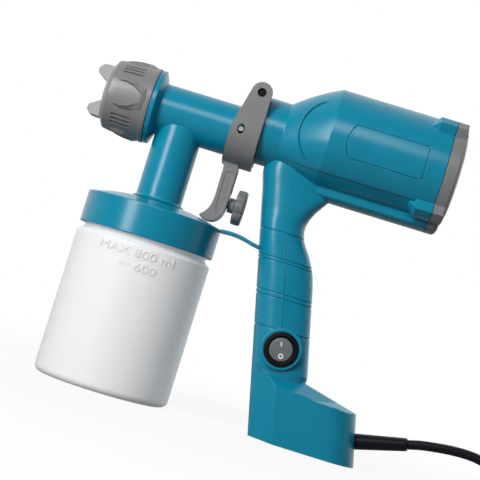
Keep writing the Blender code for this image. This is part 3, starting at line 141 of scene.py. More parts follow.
PIVOT_X = -0.0156                   # trigger pivot
PIVOT_Z = 0.2391
PIN_RADIUS = 0.0028
KNUCKLE_RADIUS = 0.0066
YOKE_INNER = 0.0256
YOKE_WALL = 0.0023
LEVER_HALF_WIDTH = 0.0095
CROSS_PIN_X = -0.0225
KNOB_Z = 0.1563
KNOB_RADIUS = 0.013
KNOB_LOBES = 8

CORD_RADIUS = 0.0035
COIL_CENTRE = Vector((0.325, 0.0, 0.0))
COIL_MEAN_RADIUS = 0.0388
COIL_TURNS = 6.5
COIL_START = radians(-90)
COIL_PITCH = 0.0076
CORD_STEP = 0.0045                  # between the points of its centre line
PLUG_HALF_HEIGHT = 0.0084
RELIEF_DOWN = 0.1975
RELIEF_LENGTH = 0.0386
GLAND_RADIUS = 0.0049
FLOOR_HALF_WIDTH = 3.0


# ---- Camera ----
CAMERA_PLACE = Vector((0.039, -1.083, 0.083))
CAMERA_AIM = Vector((-0.0005, 0.0, 0.1341))
CAMERA_ROLL = radians(17.2)
CAMERA_LENS = 110.7


def make_camera():
    """Camera at the photograph's place, rolled as the picture is."""
    data = bpy.data.cameras.new("camera")
    data.lens = CAMERA_LENS
    data.sensor_width = 36
    camera = add_object("camera", data)
    ahead = (CAMERA_AIM - CAMERA_PLACE).normalized()
    level = ahead.cross(Vector((0, 0, 1))).normalized()
    upright = level.cross(ahead)
    right = level * cos(CAMERA_ROLL) + upright * sin(CAMERA_ROLL)
    up = upright * cos(CAMERA_ROLL) - level * sin(CAMERA_ROLL)
    camera.matrix_world = Matrix((
        (right.x, up.x, -ahead.x, CAMERA_PLACE.x),
        (right.y, up.y, -ahead.y, CAMERA_PLACE.y),
        (right.z, up.z, -ahead.z, CAMERA_PLACE.z),
        (0, 0, 0, 1)))
    bpy.context.scene.camera = camera


# ---- Materials ----
def add_node(tree, kind, inputs=None, operation=None):
    """Add a shader node to a tree, with its inputs and, if it has one, its operation."""
    made = tree.nodes.new("ShaderNode" + kind)
    if operation:
        made.operation = operation
    feed(tree, made, inputs or {})
    return made


def feed(tree, node, inputs):
    """Set a node's inputs, found by name or number, to values, or link them to sockets."""
    for key, given in inputs.items():
        if isinstance(given, bpy.types.NodeSocket):
            tree.links.new(given, node.inputs[key])
        else:
            node.inputs[key].default_value = given


def principled(name):
    """A new material, its node tree, its shader, and the place on the object as a socket."""
    made = bpy.data.materials.new(name)
    made.use_nodes = True
    tree = made.node_tree
    return made, tree, tree.nodes["Principled BSDF"], add_node(tree, "TexCoord").outputs["Object"]


def srgb(red, green, blue):
    """A colour given as it shows on a screen, 0 to 255, as linear values."""
    def linear(value):
        value = value / 255
        return value / 12.92 if value <= 0.04045 else ((value + 0.055) / 1.055) ** 2.4
    return (linear(red), linear(green), linear(blue), 1.0)


def moulded(name, colour, rough, grain=0.06, grain_size=0.0006, round_edge=0.0, mottle=0.05, specular=0.25,
            inner_light=0.0, backdrop_and_painted_glow=0.0):
    """Moulded plastic: fine spark-eroded grain, slight unevenness of colour and gloss, and, if asked, a painted
    glow: white emission that lightens its shaded side.
    """
    made, tree, shader, place = principled(name)
    broad = add_node(tree, "TexNoise", {"Scale": 55, "Detail": 3, "Vector": place}).outputs["Fac"]
    tint = add_node(tree, "ValToRGB", {"Fac": broad})
    for stop, position, factor in zip(tint.color_ramp.elements, (0.25, 0.75), (1 - mottle, 1 + mottle)):
        stop.position = position
        stop.color = [min(1.0, c * factor) for c in srgb(*colour)[:3]] + [1]
    gloss = add_node(tree, "MapRange", {"To Min": rough - 0.04, "To Max": rough + 0.05, "Value": broad})
    fine = add_node(tree, "TexNoise", {"Scale": 1 / grain_size, "Detail": 2, "Vector": place})
    bump = add_node(tree, "Bump", {"Strength": grain, "Distance": 0.0002, "Height": fine.outputs["Fac"]})
    if round_edge:
        edge = add_node(tree, "Bevel", {"Radius": round_edge})
        edge.samples = 4
        feed(tree, bump, {"Normal": edge.outputs["Normal"]})
    feed(tree, shader, {"Base Color": tint.outputs["Color"], "Roughness": gloss.outputs["Result"],
                        "Normal": bump.outputs["Normal"], "Specular IOR Level": specular})
    # painted glow: even white emission from a surface that is no lamp, lightening its shaded side as if light
    # came through the plastic
    if backdrop_and_painted_glow:
        feed(tree, shader, {"Emission Color": (1.0, 1.0, 1.0, 1.0), "Emission Strength": backdrop_and_painted_glow})
    if inner_light:
        feed(tree, shader, {"Subsurface Weight": inner_light, "Subsurface Radius": (1.0, 1.0, 1.0),
                            "Subsurface Scale": 0.004})
    return made


def metal(name, colour, rough):
    """Turned or drawn metal with fine lines round it."""
    made, tree, shader, place = principled(name)
    lines = add_node(tree, "TexNoise", {"Scale": 900, "Detail": 4, "Vector": place}).outputs["Fac"]
    gloss = add_node(tree, "MapRange", {"To Min": rough - 0.08, "To Max": rough + 0.1, "Value": lines})
    bump = add_node(tree, "Bump", {"Strength": 0.05, "Distance": 0.0001, "Height": lines})
    feed(tree, shader, {"Base Color": srgb(*colour), "Metallic": 1.0, "Roughness": gloss.outputs["Result"],
                        "Normal": bump.outputs["Normal"]})
    return made


MATERIALS = {}
for slot, tone, gloss_level, more in (
        ("blue_plastic", (6, 141, 172), 0.24, {"grain": 0.008, "round_edge": 0.0009, "specular": 0.48}),
        ("grey_plastic", (134, 134, 135), 0.32, {"round_edge": 0.0007, "specular": 0.5}),
        ("light_grey_plastic", (174, 174, 175), 0.34, {"round_edge": 0.0005, "specular": 0.4}),
        ("dark_grey_plastic", (118, 121, 123), 0.36, {"round_edge": 0.0006, "specular": 0.4}),
        ("black_plastic", (10, 14, 20), 0.3, {"round_edge": 0.0004, "specular": 0.22}),
        # white plastic also carries a painted glow that lifts its shaded side, besides its real translucency
        ("white_plastic", (241, 241, 242), 0.45, {"mottle": 0.008, "inner_light": 0.8, "backdrop_and_painted_glow": 0.11}),
        ("black_rubber", (12, 16, 24), 0.4, {"grain": 0.1, "mottle": 0.1}),
        ("filter_foam", (52, 54, 57), 0.9, {"grain": 0.9, "grain_size": 0.0011, "mottle": 0.3})):
    MATERIALS[slot] = moulded(slot, tone, gloss_level, **more)
for slot, tone, gloss_level in (("steel", (196, 198, 200), 0.3), ("brass", (198, 164, 96), 0.3),
                                ("copper", (206, 132, 90), 0.34)):
    MATERIALS[slot] = metal(slot, tone, gloss_level)
# the raised marks carry a painted glow too, matching the cup's
MARK = moulded("mark_white", (228, 228, 229), 0.45, mottle=0.008, backdrop_and_painted_glow=0.1)
SLOT_OF = {part["node"]: part["material_slot"] for part in frame["record"]["subparts"]}


def dress_cad_nodes():
    """Give every carried-over node its procedural material."""
    for name, node in frame["nodes"].items():
        chosen = MATERIALS[SLOT_OF[name]]
        node.data.materials.clear()
        node.data.materials.append(chosen)


# ---- Tools ----
def on_handle(down, back, side=0.0):
    """A point given down the handle, back from its front edge, and to the side."""
    return HANDLE_TOP + HANDLE_DOWN * down + HANDLE_BACK * back + Vector((0, side, 0))


def floor_down(back):
    """The distance down the handle at which a line parallel to it meets the floor."""
    return (HANDLE_TOP.z + back * sin(HANDLE_SLANT)) / cos(HANDLE_SLANT)


def add_object(name, data):
    """Put a new object of a mesh, curve, lamp or camera in the scene."""
    made = bpy.data.objects.new(name, data)
    bpy.context.scene.collection.objects.link(made)
    return made


def add_mesh(name, mesh, matrix=None):
    """Make an object of a mesh, placed by its points."""
    if matrix:
        mesh.transform(matrix)
    return add_object(name, mesh)


def around(count):
    """Angles in equal steps round a full turn."""
    return [2 * pi * i / count for i in range(count)]


def evenly(start, end, count):
    """Values from start to end in a number of equal steps."""
    return [start + (end - start) * i / count for i in range(count + 1)]


def along_x(middle_z):
    """Turns a shape made about Z to one about the X direction at a height."""
    return Matrix.Translation((0, 0, middle_z)) @ Matrix.Rotation(pi / 2, 4, "Y")


def along_y(x, z):
    """Turns a shape made about Z to one about the Y direction."""
    return Matrix.Translation((x, 0, z)) @ Matrix.Rotation(-pi / 2, 4, "X")


def across_handle(down, back):
    """Turns a shape made about Z to one about the Y direction through a point of the handle."""
    place = on_handle(down, back)
    return along_y(place.x, place.z)


def out_of_foot(back):
    """Turns a shape made about Z to the line on which the cord leaves the foot."""
    return Matrix.Translation(on_handle(RELIEF_DOWN, back)) @ \
        HANDLE_BACK.to_track_quat("Z", "Y").to_matrix().to_4x4()


def cover_screw_axis(side, up):
    """Turns a shape made about Z to the axis of one of the cover's screws."""
    return along_x(MOTOR_Z + up * BOSS_RISE) @ Matrix.Translation((0, side * BOSS_Y, 0))


def weld(mesh):
    """Close a mesh's seams, drop its slivers and turn it to face out."""
    tidy = bmesh.new()
    tidy.from_mesh(mesh)
    bmesh.ops.remove_doubles(tidy, verts=tidy.verts, dist=WELD_GAP)
    bmesh.ops.dissolve_degenerate(tidy, edges=tidy.edges, dist=SLIVER)
    bmesh.ops.recalc_face_normals(tidy, faces=tidy.faces)
    tidy.to_mesh(mesh)
    tidy.free()


def mesh_of(target):
    """The clean mesh that an object's modifiers or its curve make."""
    bpy.context.view_layer.update()
    evaluated = target.evaluated_get(bpy.context.evaluated_depsgraph_get())
    mesh = bpy.data.meshes.new_from_object(evaluated)
    weld(mesh)
    return mesh


def bake(target):
    """Replace an object's mesh by what its modifiers make of it."""
    mesh = mesh_of(target)
    target.modifiers.clear()
    target.data = mesh
    return target


def combine(target, other, operation):
    """Apply a Boolean and remove the other object."""
    step = target.modifiers.new(operation.lower(), "BOOLEAN")
    step.operation = operation
    step.object = other
    step.solver = "EXACT"
    before = len(target.data.polygons)
    bake(target)
    if len(target.data.polygons) == before:
        print("no change:", target.name, operation, other.name)
    bpy.data.objects.remove(other, do_unlink=True)
    return target


def join(target, *others):
    """Add other objects to an object."""
    for other in others:
        combine(target, other, "UNION")
    return target


def cut(target, *others):
    """Take other objects off an object."""
    for other in others:
        combine(target, other, "DIFFERENCE")
    return target


def rounded(profile, radius, closed=True, steps=4):
    """Round a profile's corners, each by no more than its sides leave room for."""
    points = [Vector(point) for point in profile]
    count = len(points)
    made = []
    for i, corner in enumerate(points):
        if not closed and i in (0, count - 1):
            made.append(tuple(corner))
            continue
        back = points[i - 1] - corner
        ahead = points[(i + 1) % count] - corner
        if back.angle(ahead) > radians(168):
            made.append(tuple(corner))
            continue
        reach = min(radius, 0.45 * back.length, 0.45 * ahead.length)
        start = corner + back.normalized() * reach
        end = corner + ahead.normalized() * reach
        for k in range(steps + 1):
            t = k / steps
            made.append(tuple(start * (1 - t) ** 2 + corner * 2 * t * (1 - t) + end * t ** 2))
    return made


def turned(name, profile, steps, matrix=None, closed=True, fillet=0.0):
    """Turn a profile of (radius, height) points about Z, its corners rounded."""
    if fillet:
        profile = rounded(profile, fillet, closed)
    mesh = bpy.data.meshes.new(name)
    edges = [(i, i + 1) for i in range(len(profile) - 1)]
    if closed:
        edges.append((len(profile) - 1, 0))
    mesh.from_pydata([(radius, 0.0, height) for radius, height in profile], edges, [])
    made = add_mesh(name, mesh)
    screw = made.modifiers.new("turn", "SCREW")
    screw.steps = steps
    screw.render_steps = steps
    screw.use_merge_vertices = True
    screw.merge_threshold = SLIVER
    bake(made)
    if matrix:
        made.data.transform(matrix)
    return made


def rod(name, radius, start, end, steps, matrix=None, fillet=0.0):
    """A round bar between two heights."""
    profile = [(0, end), (radius, end), (radius, start), (0, start)]
    return turned(name, profile, steps, matrix, False, fillet)


def bridge(shape, first, second):
    """Faces between two rings of points."""
    for i, corner in enumerate(first):
        j = (i + 1) % len(first)
        shape.faces.new((corner, first[j], second[j], second[i]))


def shape_object(name, shape, matrix=None):
    """Make an object of a shape, turned to face out."""
    bmesh.ops.recalc_face_normals(shape, faces=shape.faces)
    mesh = bpy.data.meshes.new(name)
    shape.to_mesh(mesh)
    shape.free()
    return add_mesh(name, mesh, matrix)


def loft(name, rings, matrix=None, endless=False):
    """Skin a row of rings with equal numbers of points, and close both ends or join them."""
    shape = bmesh.new()
    rows = [[shape.verts.new(point) for point in ring] for ring in rings]
    for first, second in zip(rows, rows[1:] + (rows[:1] if endless else [])):
        bridge(shape, first, second)
    bmesh.ops.triangulate(shape, faces=shape.faces)
    if not endless:
        shape.faces.new(rows[0])
        shape.faces.new(rows[-1])
    return shape_object(name, shape, matrix)


def softened(made, width, segments):
    """Round or chamfer an object's sharp edges."""
    if width:
        edge = made.modifiers.new("soften", "BEVEL")
        edge.width = width
        edge.segments = segments
        edge.limit_method = "ANGLE"
        edge.angle_limit = radians(40)
        bake(made)
    return made


def plate(name, outline, half_width, chamfer=0.0):
    """Extrude an outline of (x, z) points to both sides of the middle plane."""
    made = loft(name, [[(x, side * half_width, z) for x, z in outline] for side in (-1, 1)])
    return softened(made, chamfer, 1)


def box(name, low, high, bevel=0.0, segments=3):
    """A box between two corners, with an optional rounded edge."""
    (x0, y0, z0), (x1, y1, z1) = low, high
    made = loft(name, [[(x0, y0, z), (x1, y0, z), (x1, y1, z), (x0, y1, z)] for z in (z0, z1)])
    return softened(made, bevel, segments)


def groove(name, path, normals, half_width, depth, closed):
    """A V along a path on a surface: with outward normals it cuts a groove, with inward ones it adds a rim."""
    rings = []
    count = len(path)
    for i, (place, out) in enumerate(zip(path, normals)):
        before = path[i - 1] if i or closed else path[i]
        after = path[(i + 1) % count] if i < count - 1 or closed else path[i]
        side = out.cross((after - before).normalized()).normalized() * half_width
        rings.append([place + side + out * depth, place + side * 0.55 - out * depth,
                      place - side * 0.55 - out * depth, place - side + out * depth])
    return loft(name, rings, endless=closed)


def arc(centre, radius, start, end, count):
    """Points on an arc in degrees, as (x, z) pairs."""
    angles = [radians(degrees) for degrees in evenly(start, end, count - 1)]
    return [(centre[0] + radius * cos(a), centre[1] + radius * sin(a)) for a in angles]


def keep(made, body, slot, *nodes, angle=30, material=None):
    """Finish a piece: edges sharp above an angle, material, body, and the nodes that it stands for."""
    if angle:
        made.data.shade_smooth()
        made.data.set_sharp_from_angle(angle=radians(angle))
        made.modifiers.new("weigh", "WEIGHTED_NORMAL").keep_sharp = True
    made.data.materials.append(material or MATERIALS[slot])
    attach(made, body)
    if nodes:
        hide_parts(*nodes)
    return made


def smooth_path(route, step):
    """Points a step apart on a Catmull-Rom curve through the route's points."""
    ends = [route[0] * 2 - route[1], *route, route[-1] * 2 - route[-2]]
    fine = []
    for before, start, end, after in zip(ends, ends[1:], ends[2:], ends[3:]):
        for i in range(CURVE_STEPS):
            u = i / CURVE_STEPS
            fine.append(0.5 * (2 * start + (end - before) * u
                               + (2 * before - 5 * start + 4 * end - after) * u ** 2
                               + (3 * start - before - 3 * end + after) * u ** 3))
    fine.append(route[-1])
    lengths = [0.0]
    for first, second in zip(fine, fine[1:]):
        lengths.append(lengths[-1] + (second - first).length)
    count = max(2, ceil(lengths[-1] / step))
    path = []
    k = 0
    for i in range(count + 1):
        goal = lengths[-1] * i / count
        while k < len(fine) - 2 and lengths[k + 1] < goal:
            k += 1
        share = (goal - lengths[k]) / (lengths[k + 1] - lengths[k])
        path.append(fine[k].lerp(fine[k + 1], min(1.0, share)))
    return path


# ---- Housing ----
def dome_share(x):
    """How far x lies along the dome, from 0 at the nose to 1 at the motor housing."""
    return min(1.0, max(0.0, (x - NOSE_X[1]) / (MOTOR_X[0] - NOSE_X[1])))


def housing_circle(x):
    """Radius and centre height of the dome or the motor housing at x."""
    share = dome_share(x)
    rise = 1.3 * share - 0.3 * share ** 2
    top = NOSE_Z + NOSE_RADIUS + (MOTOR_Z + MOTOR_RADIUS - NOSE_Z - NOSE_RADIUS) * rise
    bottom = NOSE_Z - NOSE_RADIUS + (MOTOR_Z - MOTOR_RADIUS - NOSE_Z + NOSE_RADIUS) * share
    return (top - bottom) / 2, (top + bottom) / 2


def housing_ring(x):
    """Section of the dome or the motor housing, with its step line."""
    radius, middle = housing_circle(x)
    step = CREASE_STEP * max(dome_share(x), 0.15)
    over = [(CREASE_ANGLE * i / 48, 0) for i in range(49)]
    under = [(CREASE_ANGLE + (pi - CREASE_ANGLE) * i / 14, 1) for i in range(15)]
    half = over + under
    whole = half + [(2 * pi - a, low) for a, low in reversed(half[1:-1])]
    return [(x, (radius - step * low) * sin(a), middle + (radius - step * low) * cos(a)) for a, low in whole]


def circle_ring(x, radius, middle, count):
    """Circle across the X direction."""
    return [(x, radius * sin(a), middle + radius * cos(a)) for a in around(count)]


def handle_size(down):
    """Front edge, back edge and half width of the handle, on a smooth curve through its stations."""
    last = len(HANDLE_STATIONS) - 1
    i = 0
    while i < last - 1 and down > HANDLE_STATIONS[i + 1][0]:
        i += 1
    rows = [HANDLE_STATIONS[min(last, max(0, k))] for k in (i - 1, i, i + 1, i + 2)]
    x0, x1, x2, x3 = (row[0] for row in rows)
    t = min(1.0, max(0.0, (down - x1) / (x2 - x1)))
    found = []
    for y0, y1, y2, y3 in zip(*(row[1:] for row in rows)):
        m1 = (y2 - y0) / (x2 - x0) * (x2 - x1) if x2 > x0 else y2 - y1
        m2 = (y3 - y1) / (x3 - x1) * (x2 - x1) if x3 > x1 else y2 - y1
        found.append((2 * t ** 3 - 3 * t ** 2 + 1) * y1 + (t ** 3 - 2 * t ** 2 + t) * m1
                     + (3 * t ** 2 - 2 * t ** 3) * y2 + (t ** 3 - t ** 2) * m2)
    return found


def handle_ring(level, inset=0.0, count=72):
    """Level section of the slanting handle: an oval, with a narrower web behind it near the housing."""
    ring = []
    for angle in around(count):
        ahead = cos(angle) > 0
        down = (HANDLE_TOP.z - level) / cos(HANDLE_SLANT)
        for _ in range(6):
            front, back, half_width = handle_size(down)
            widest = min((front + back) / 2, HANDLE_DEPTH / 2)
            web = min(1.0, max(0.0, (back - 0.036) / 0.018))
            power = 2 / 2.5 if ahead else 2 / (2.5 + 1.5 * web)
            along = abs(cos(angle)) ** power
            across = abs(sin(angle)) ** power * (1 if sin(angle) > 0 else -1)
            if ahead:
                reach = widest - (widest - front - inset) * along
            else:
                reach = widest + (back - widest - inset) * along
                across *= 1 - WEB_TAPER * web * along
            down = (HANDLE_TOP.z + reach * sin(HANDLE_SLANT) - level) / cos(HANDLE_SLANT)
        ring.append(on_handle(down, reach, (half_width - inset) * across))
    return ring


def handle_sections():
    """The handle's level sections from top to bottom, grooves and drawn-in end among them."""
    levels = []
    level = HANDLE_TOP_Z
    while level > HANDLE_FOOT_Z[0] + 0.001:
        if all(abs(level - line) > GROOVE_HALF_WIDTH * 1.6 for line in HANDLE_GROOVES):
            levels.append((level, 0.0))
        level -= 0.0022
    for line in HANDLE_GROOVES:
        levels += [(line + GROOVE_HALF_WIDTH, 0.0), (line, GROOVE_DEPTH), (line - GROOVE_HALF_WIDTH, 0.0)]
    levels += [(HANDLE_FOOT_Z[0], 0.0), (HANDLE_FOOT_Z[1], FOOT_DRAW_IN)]
    return [handle_ring(*level) for level in sorted(levels, reverse=True)]


def foot_outline(inset):
    """Plan of the foot across the handle's axis: (back, side) points."""
    side = FOOT_HALF_WIDTH - inset
    corner = FOOT_REAR_RADIUS - inset
    rear = FOOT_DEPTH - inset
    half = [(inset, 0.0), (inset, 0.005 - inset / 2), (0.0012 + inset, 0.009 - inset / 2),
            (FOOT_RIDGE_BACK + inset / 2, side)]
    for i in range(25):
        angle = pi / 2 * i / 24
        half.append((rear - corner + corner * sin(angle), side - corner + corner * cos(angle)))
    return half + [(back, -across) for back, across in reversed(half[1:])]


def foot_top(back, side, cover):
    """A point on the foot's top: a flat crown between sloping sides."""
    slope = max(0.0, (abs(side) - FOOT_CROWN_HALF_WIDTH) / (FOOT_HALF_WIDTH - FOOT_CROWN_HALF_WIDTH))
    down = ((1 - slope) * (FOOT_CROWN[0] + FOOT_CROWN[1] * back)
            + slope * (FOOT_SIDES[0] + FOOT_SIDES[1] * back))
    return on_handle(down + cover, back, side)


def foot(name, inset=0.0, cover=0.0, floor_gap=0.0):
    """The foot: its plan run down the handle to the floor, under the faceted top."""
    plan = foot_outline(inset)
    prism = loft(name, [[on_handle(0.13, back, side) for back, side in plan],
                        [on_handle(floor_down(back) - floor_gap, back, side) for back, side in plan]])
    crown = FOOT_CROWN_HALF_WIDTH
    reach = FOOT_HALF_WIDTH + 0.004
    sections = []
    for back in evenly(-0.006, 0.086, 4):
        top = [foot_top(back, side, cover) for side in (-reach, -crown, crown, reach)]
        sections.append([on_handle(0.24, back, -reach), *top, on_handle(0.24, back, reach)])
    return combine(prism, loft("foot_slope", sections), "INTERSECT")


def boss_ring(x, lift, side, up):
    """Section of a screw boss: a wedge whose ridge stands proud of the housing's side."""
    corners = rounded(mm((12, 24), (19.5, 38), (27, 36.6), (33, 32.2), (29, 24.5), (18, 20)), 0.0007, True, 3)
    centre_y, centre_z = 0.018, 0.024
    return [(x, side * (centre_y + (across - centre_y) * lift),
             MOTOR_Z + up * (centre_z + (rise - centre_z) * lift)) for across, rise in corners]


def boss(name, side, up, x_start, x_end):
    """A cover-screw boss; one that starts on the housing has a sloping front."""
    starts = ((x_start, 0.45), (x_start + 0.0066, 1.0)) if x_start < MOTOR_X[1] else ((x_start, 1.0),)
    return loft(name, [boss_ring(x, lift, side, up) for x, lift in (*starts, (x_end, 1.0))])


def keel_ring(x, half_width, bottom):
    """Section of the keel: upright sides and a rounded underside."""
    side_z = bottom + 0.0052
    ring = [(x, -half_width, MOTOR_Z - 0.02), (x, -half_width, side_z)]
    for i in range(1, 24):
        angle = pi * i / 24
        ring.append((x, -half_width * cos(angle), side_z - 0.0052 * sin(angle) ** 0.7))
    return ring + [(x, half_width, side_z), (x, half_width, MOTOR_Z - 0.02)]


def cheek_cut(side):
    """What the cheek takes off the side of the dome: a steeper face with a round, stepped front edge."""
    xs = evenly(0.012, MOTOR_X[0], 8) + [0.0425, 0.05, 0.075]
    rings = []
    for x in xs:
        radius, middle = housing_circle(x)
        rings.append(circle_ring(x, radius + float(np.interp(x, *zip(*CHEEK_STATIONS))), middle, 112))
    disc = rod("cheek_disc", CHEEK_RADIUS, side * 0.034 - 0.026, side * 0.034 + 0.026, 128,
               along_y(*CHEEK_CENTRE))
    return combine(disc, loft("cheek_face", rings), "DIFFERENCE")


def cheek_bead(side):
    """Fine raised rim along the round front edge of the cheek."""
    path, inward = [], []
    for degrees in evenly(102, 232, 40):
        turn = radians(degrees)
        x = CHEEK_CENTRE[0] + (CHEEK_RADIUS + 0.0004) * cos(turn)
        z = CHEEK_CENTRE[1] + (CHEEK_RADIUS + 0.0004) * sin(turn)
        radius, middle = housing_circle(x)
        y = side * sqrt(radius ** 2 - (z - middle) ** 2)
        path.append(Vector((x, y, z)))
        inward.append(Vector((0, -y, middle - z)).normalized())
    return groove("cheek_bead", path, inward, 0.0007, 0.0004, False)


def outer_body():
    """The closed outer form of housing, handle and foot."""
    xs = evenly(NOSE_X[1], MOTOR_X[0], 16)
    rough_end = MOTOR_X[1] + 0.004
    body = loft("outer_body", [housing_ring(x) for x in xs + [0.07, 0.1, rough_end]])
    nose = turned("nose", [(0, NOSE_X[1] + 0.006), (NOSE_RADIUS, NOSE_X[1] + 0.006), (NOSE_RADIUS, NOSE_X[0]),
                           (0, NOSE_X[0])], 112, along_x(NOSE_Z), False, 0.0008)
    keel = loft("keel", [keel_ring(x, KEEL_HALF_WIDTH, KEEL_BOTTOM_Z) for x in (0.036, 0.132)])
    handle = loft("handle", handle_sections())
    knuckle_end = YOKE_INNER - PLAY
    knuckle = rod("knuckle", KNUCKLE_RADIUS, -knuckle_end, knuckle_end, 48, along_y(PIVOT_X, PIVOT_Z), 0.0005)
    web_arc = rod("web_arc", NOSE_RADIUS - 0.0002, PIVOT_X - 0.002, NOSE_X[0] + 0.008, 112, along_x(NOSE_Z))
    web = box("web", (PIVOT_X, -0.016, 0.2326), (NOSE_X[0] + 0.006, 0.016, 0.244))
    combine(web, web_arc, "INTERSECT")
    join(body, nose, keel, handle, foot("foot"), knuckle, web)
    cut(body, cheek_cut(-1), cheek_cut(1))
    join(body, cheek_bead(-1), cheek_bead(1))
    for side, up in CORNERS:
        join(body, boss("boss", side, up, BOSS_FRONT_X, rough_end))
    return cut(body, box("rear_trim", (MOTOR_X[1], -0.1, 0.12), (MOTOR_X[1] + 0.05, 0.1, 0.32)))


def hollow(body):
    """Open the nose bore, the motor room, the handle and the foot."""
    sections = ((0.01, 0.0225, 0.217), (MOTOR_X[0], 0.036, MOTOR_Z), (MOTOR_X[1] + 0.002, 0.036, MOTOR_Z))
    room = loft("motor_room", [circle_ring(*section, 56) for section in sections])
    bore = rod("nose_bore", 0.0158, NOSE_X[0] - 0.002, 0.02, 64, along_x(SPRAY_Z))
    grip = loft("handle_room", [handle_ring(level, SHELL_WALL, 24) for level in HANDLE_ROOM_LEVELS])
    return cut(body, room, grip, foot("foot_room", SHELL_WALL, SHELL_WALL, SHELL_WALL), bore)


def label_groove():
    """Outline of the bare panel on the housing's near side: bowed at its front, rounded at its rear."""
    front = [PANEL_X[0] + 0.0038 * (2 * i / 12 - 1) ** 2 for i in range(13)]
    outline = list(zip(front, evenly(*PANEL_Z, 12))) + [(PANEL_X[1], PANEL_Z[1]), (PANEL_X[1], PANEL_Z[0])]
    line = rounded(outline, 0.002, True, 5)
    dense = []
    for (x0, z0), (x1, z1) in zip(line, line[1:] + line[:1]):
        pieces = max(1, int(((x1 - x0) ** 2 + (z1 - z0) ** 2) ** 0.5 / 0.002))
        dense += [(x0 + (x1 - x0) * k / pieces, z0 + (z1 - z0) * k / pieces) for k in range(pieces)]
    path, normals = [], []
    for x, z in dense:
        rise = z - MOTOR_Z
        y = -sqrt(MOTOR_RADIUS ** 2 - rise ** 2)
        path.append(Vector((x, y, z)))
        normals.append(Vector((0, y, rise)).normalized())
    return groove("label_groove", path, normals, 0.00042, 0.0005, True)


def crease_lines():
    """Fine groove along each step line of the housing, from the cheek to the rear cover."""
    lines = []
    for side in (-1, 1):
        out = Vector((0, side * sin(CREASE_ANGLE), cos(CREASE_ANGLE)))
        path = []
        for x in evenly(MOTOR_X[0] - 0.006, MOTOR_X[1] - 0.001, 30):
            radius, middle = housing_circle(x)
            path.append(Vector((x, 0, middle)) + out * (radius - 0.0002))
        lines.append(groove("crease_line", path, [out] * len(path), 0.0006, 0.0009, False))
    return lines


def side_lines():
    """Upright line on each side of the grip, from its top groove to the switch."""
    lines = []
    for side in (-1, 1):
        path = [on_handle(down, HANDLE_DEPTH / 2, side * handle_size(down)[2])
                for down in evenly(0.05, 0.119, 24)]
        lines.append(groove("side_line", path, [Vector((0, side, 0))] * len(path), 0.00035, 0.0004, False))
    return lines


def switch_ring():
    """Raised ring that stands round the switch on the near side."""
    return rod("switch_ring", 0.0152, -0.0203, -0.015, 96, across_handle(SWITCH_DOWN, HANDLE_DEPTH / 2), 0.0009)


def housing():
    """The two moulded shells of motor housing, handle and foot."""
    body = outer_body()
    join(body, switch_ring())
    hollow(body)
    for down, back, reach in SHELL_SCREWS:
        join(body, rod("post", POST_RADIUS, -reach, reach, 24, across_handle(down, back)))
    cut(body, label_groove(), *side_lines(), *crease_lines())
    pivot = rod("pivot_hole", PIN_RADIUS + SEAM, -0.03, 0.03, 32, along_y(PIVOT_X, PIVOT_Z))
    cut(body, pivot, rod("gland_hole", GLAND_RADIUS + SEAM, 0.0, 0.02, 32, out_of_foot(FOOT_DEPTH - 0.01)))
    for side, up in CORNERS:
        cut(body, rod("pilot", 0.0016, 0.115, 0.14, 12, cover_screw_axis(side, up)))
    switch_axis = across_handle(SWITCH_DOWN, HANDLE_DEPTH / 2)
    for name, node, side in (("shell_near", "housing_right", -1), ("shell_far", "housing_left", 1)):
        half = add_mesh(name, body.data.copy())
        low = -0.1 if side > 0 else -SEAM / 2
        high = SEAM / 2 if side > 0 else 0.1
        cut(half, box("half_plane", (-0.2, low, -0.01), (0.2, high, 0.3)))
        if side < 0:
            cut(half, rod("switch_hole", 0.0113, -0.03, -0.01, 64, switch_axis))
        for down, back, _ in SHELL_SCREWS:
            place = across_handle(down, back)
            if side < 0:
                cut(half, rod("thread", 0.0015, -0.011, 0.001, 12, place))
            else:
                cut(half, rod("shank", 0.0018, -0.001, 0.03, 12, place),
                    rod("pocket", 0.0034, 0.012, 0.03, 40, place))
        keep(half, "gun", "blue_plastic", node, angle=13)
    bpy.data.objects.remove(body, do_unlink=True)


def rear_cover():
    """Grey end cover: crowned disc, keel end and four bosses, with air slots."""
    front = MOTOR_X[1] + SEAM
    profile = [(0, REAR_X), (0.03, REAR_X), (0.0362, REAR_X - 0.0012), (MOTOR_RADIUS, COVER_EDGE_X),
               (MOTOR_RADIUS, front), (0, front)]
    cover = turned("end_cover", profile, 128, along_x(MOTOR_Z), False, 0.0005)
    stations = ((front, 0.0, 0.0), (0.1322, 0.0, 0.0), (0.1338, 0.0006, 0.0009), (0.1346, 0.002, 0.003))
    join(cover, loft("keel_end", [keel_ring(x, KEEL_HALF_WIDTH - draw, KEEL_BOTTOM_Z + rise)
                                  for x, draw, rise in stations]))
    for side, up in CORNERS:
        join(cover, boss("cover_boss", side, up, front, BOSS_REAR_X))
    room = mm((0, 134.6), (33, 134.6), (35.5, 133), (35.5, 120), (0, 120))
    cut(cover, turned("cover_room", room, 64, along_x(MOTOR_Z), False))
    for row in range(-2, 3):
        rise = row * SLOT_PITCH
        height = MOTOR_Z + rise
        reach = sqrt(SLOT_REACH ** 2 - rise ** 2)
        ends = arc((-reach, 0.0), 0.0015, 270, 90, 9) + arc((reach, 0.0), 0.0015, 90, -90, 9)
        cut(cover, loft("air_slot", [[(x, y, height + z) for y, z in ends] for x in (0.13, 0.14)]))
    for side, up in CORNERS:
        place = cover_screw_axis(side, up)
        cut(cover, rod("clearance", 0.0019, 0.12, 0.14, 16, place),
            rod("counterbore", 0.0036, 0.1305, 0.14, 48, place))
    keep(cover, "gun", "grey_plastic", "rear_cover", angle=20)


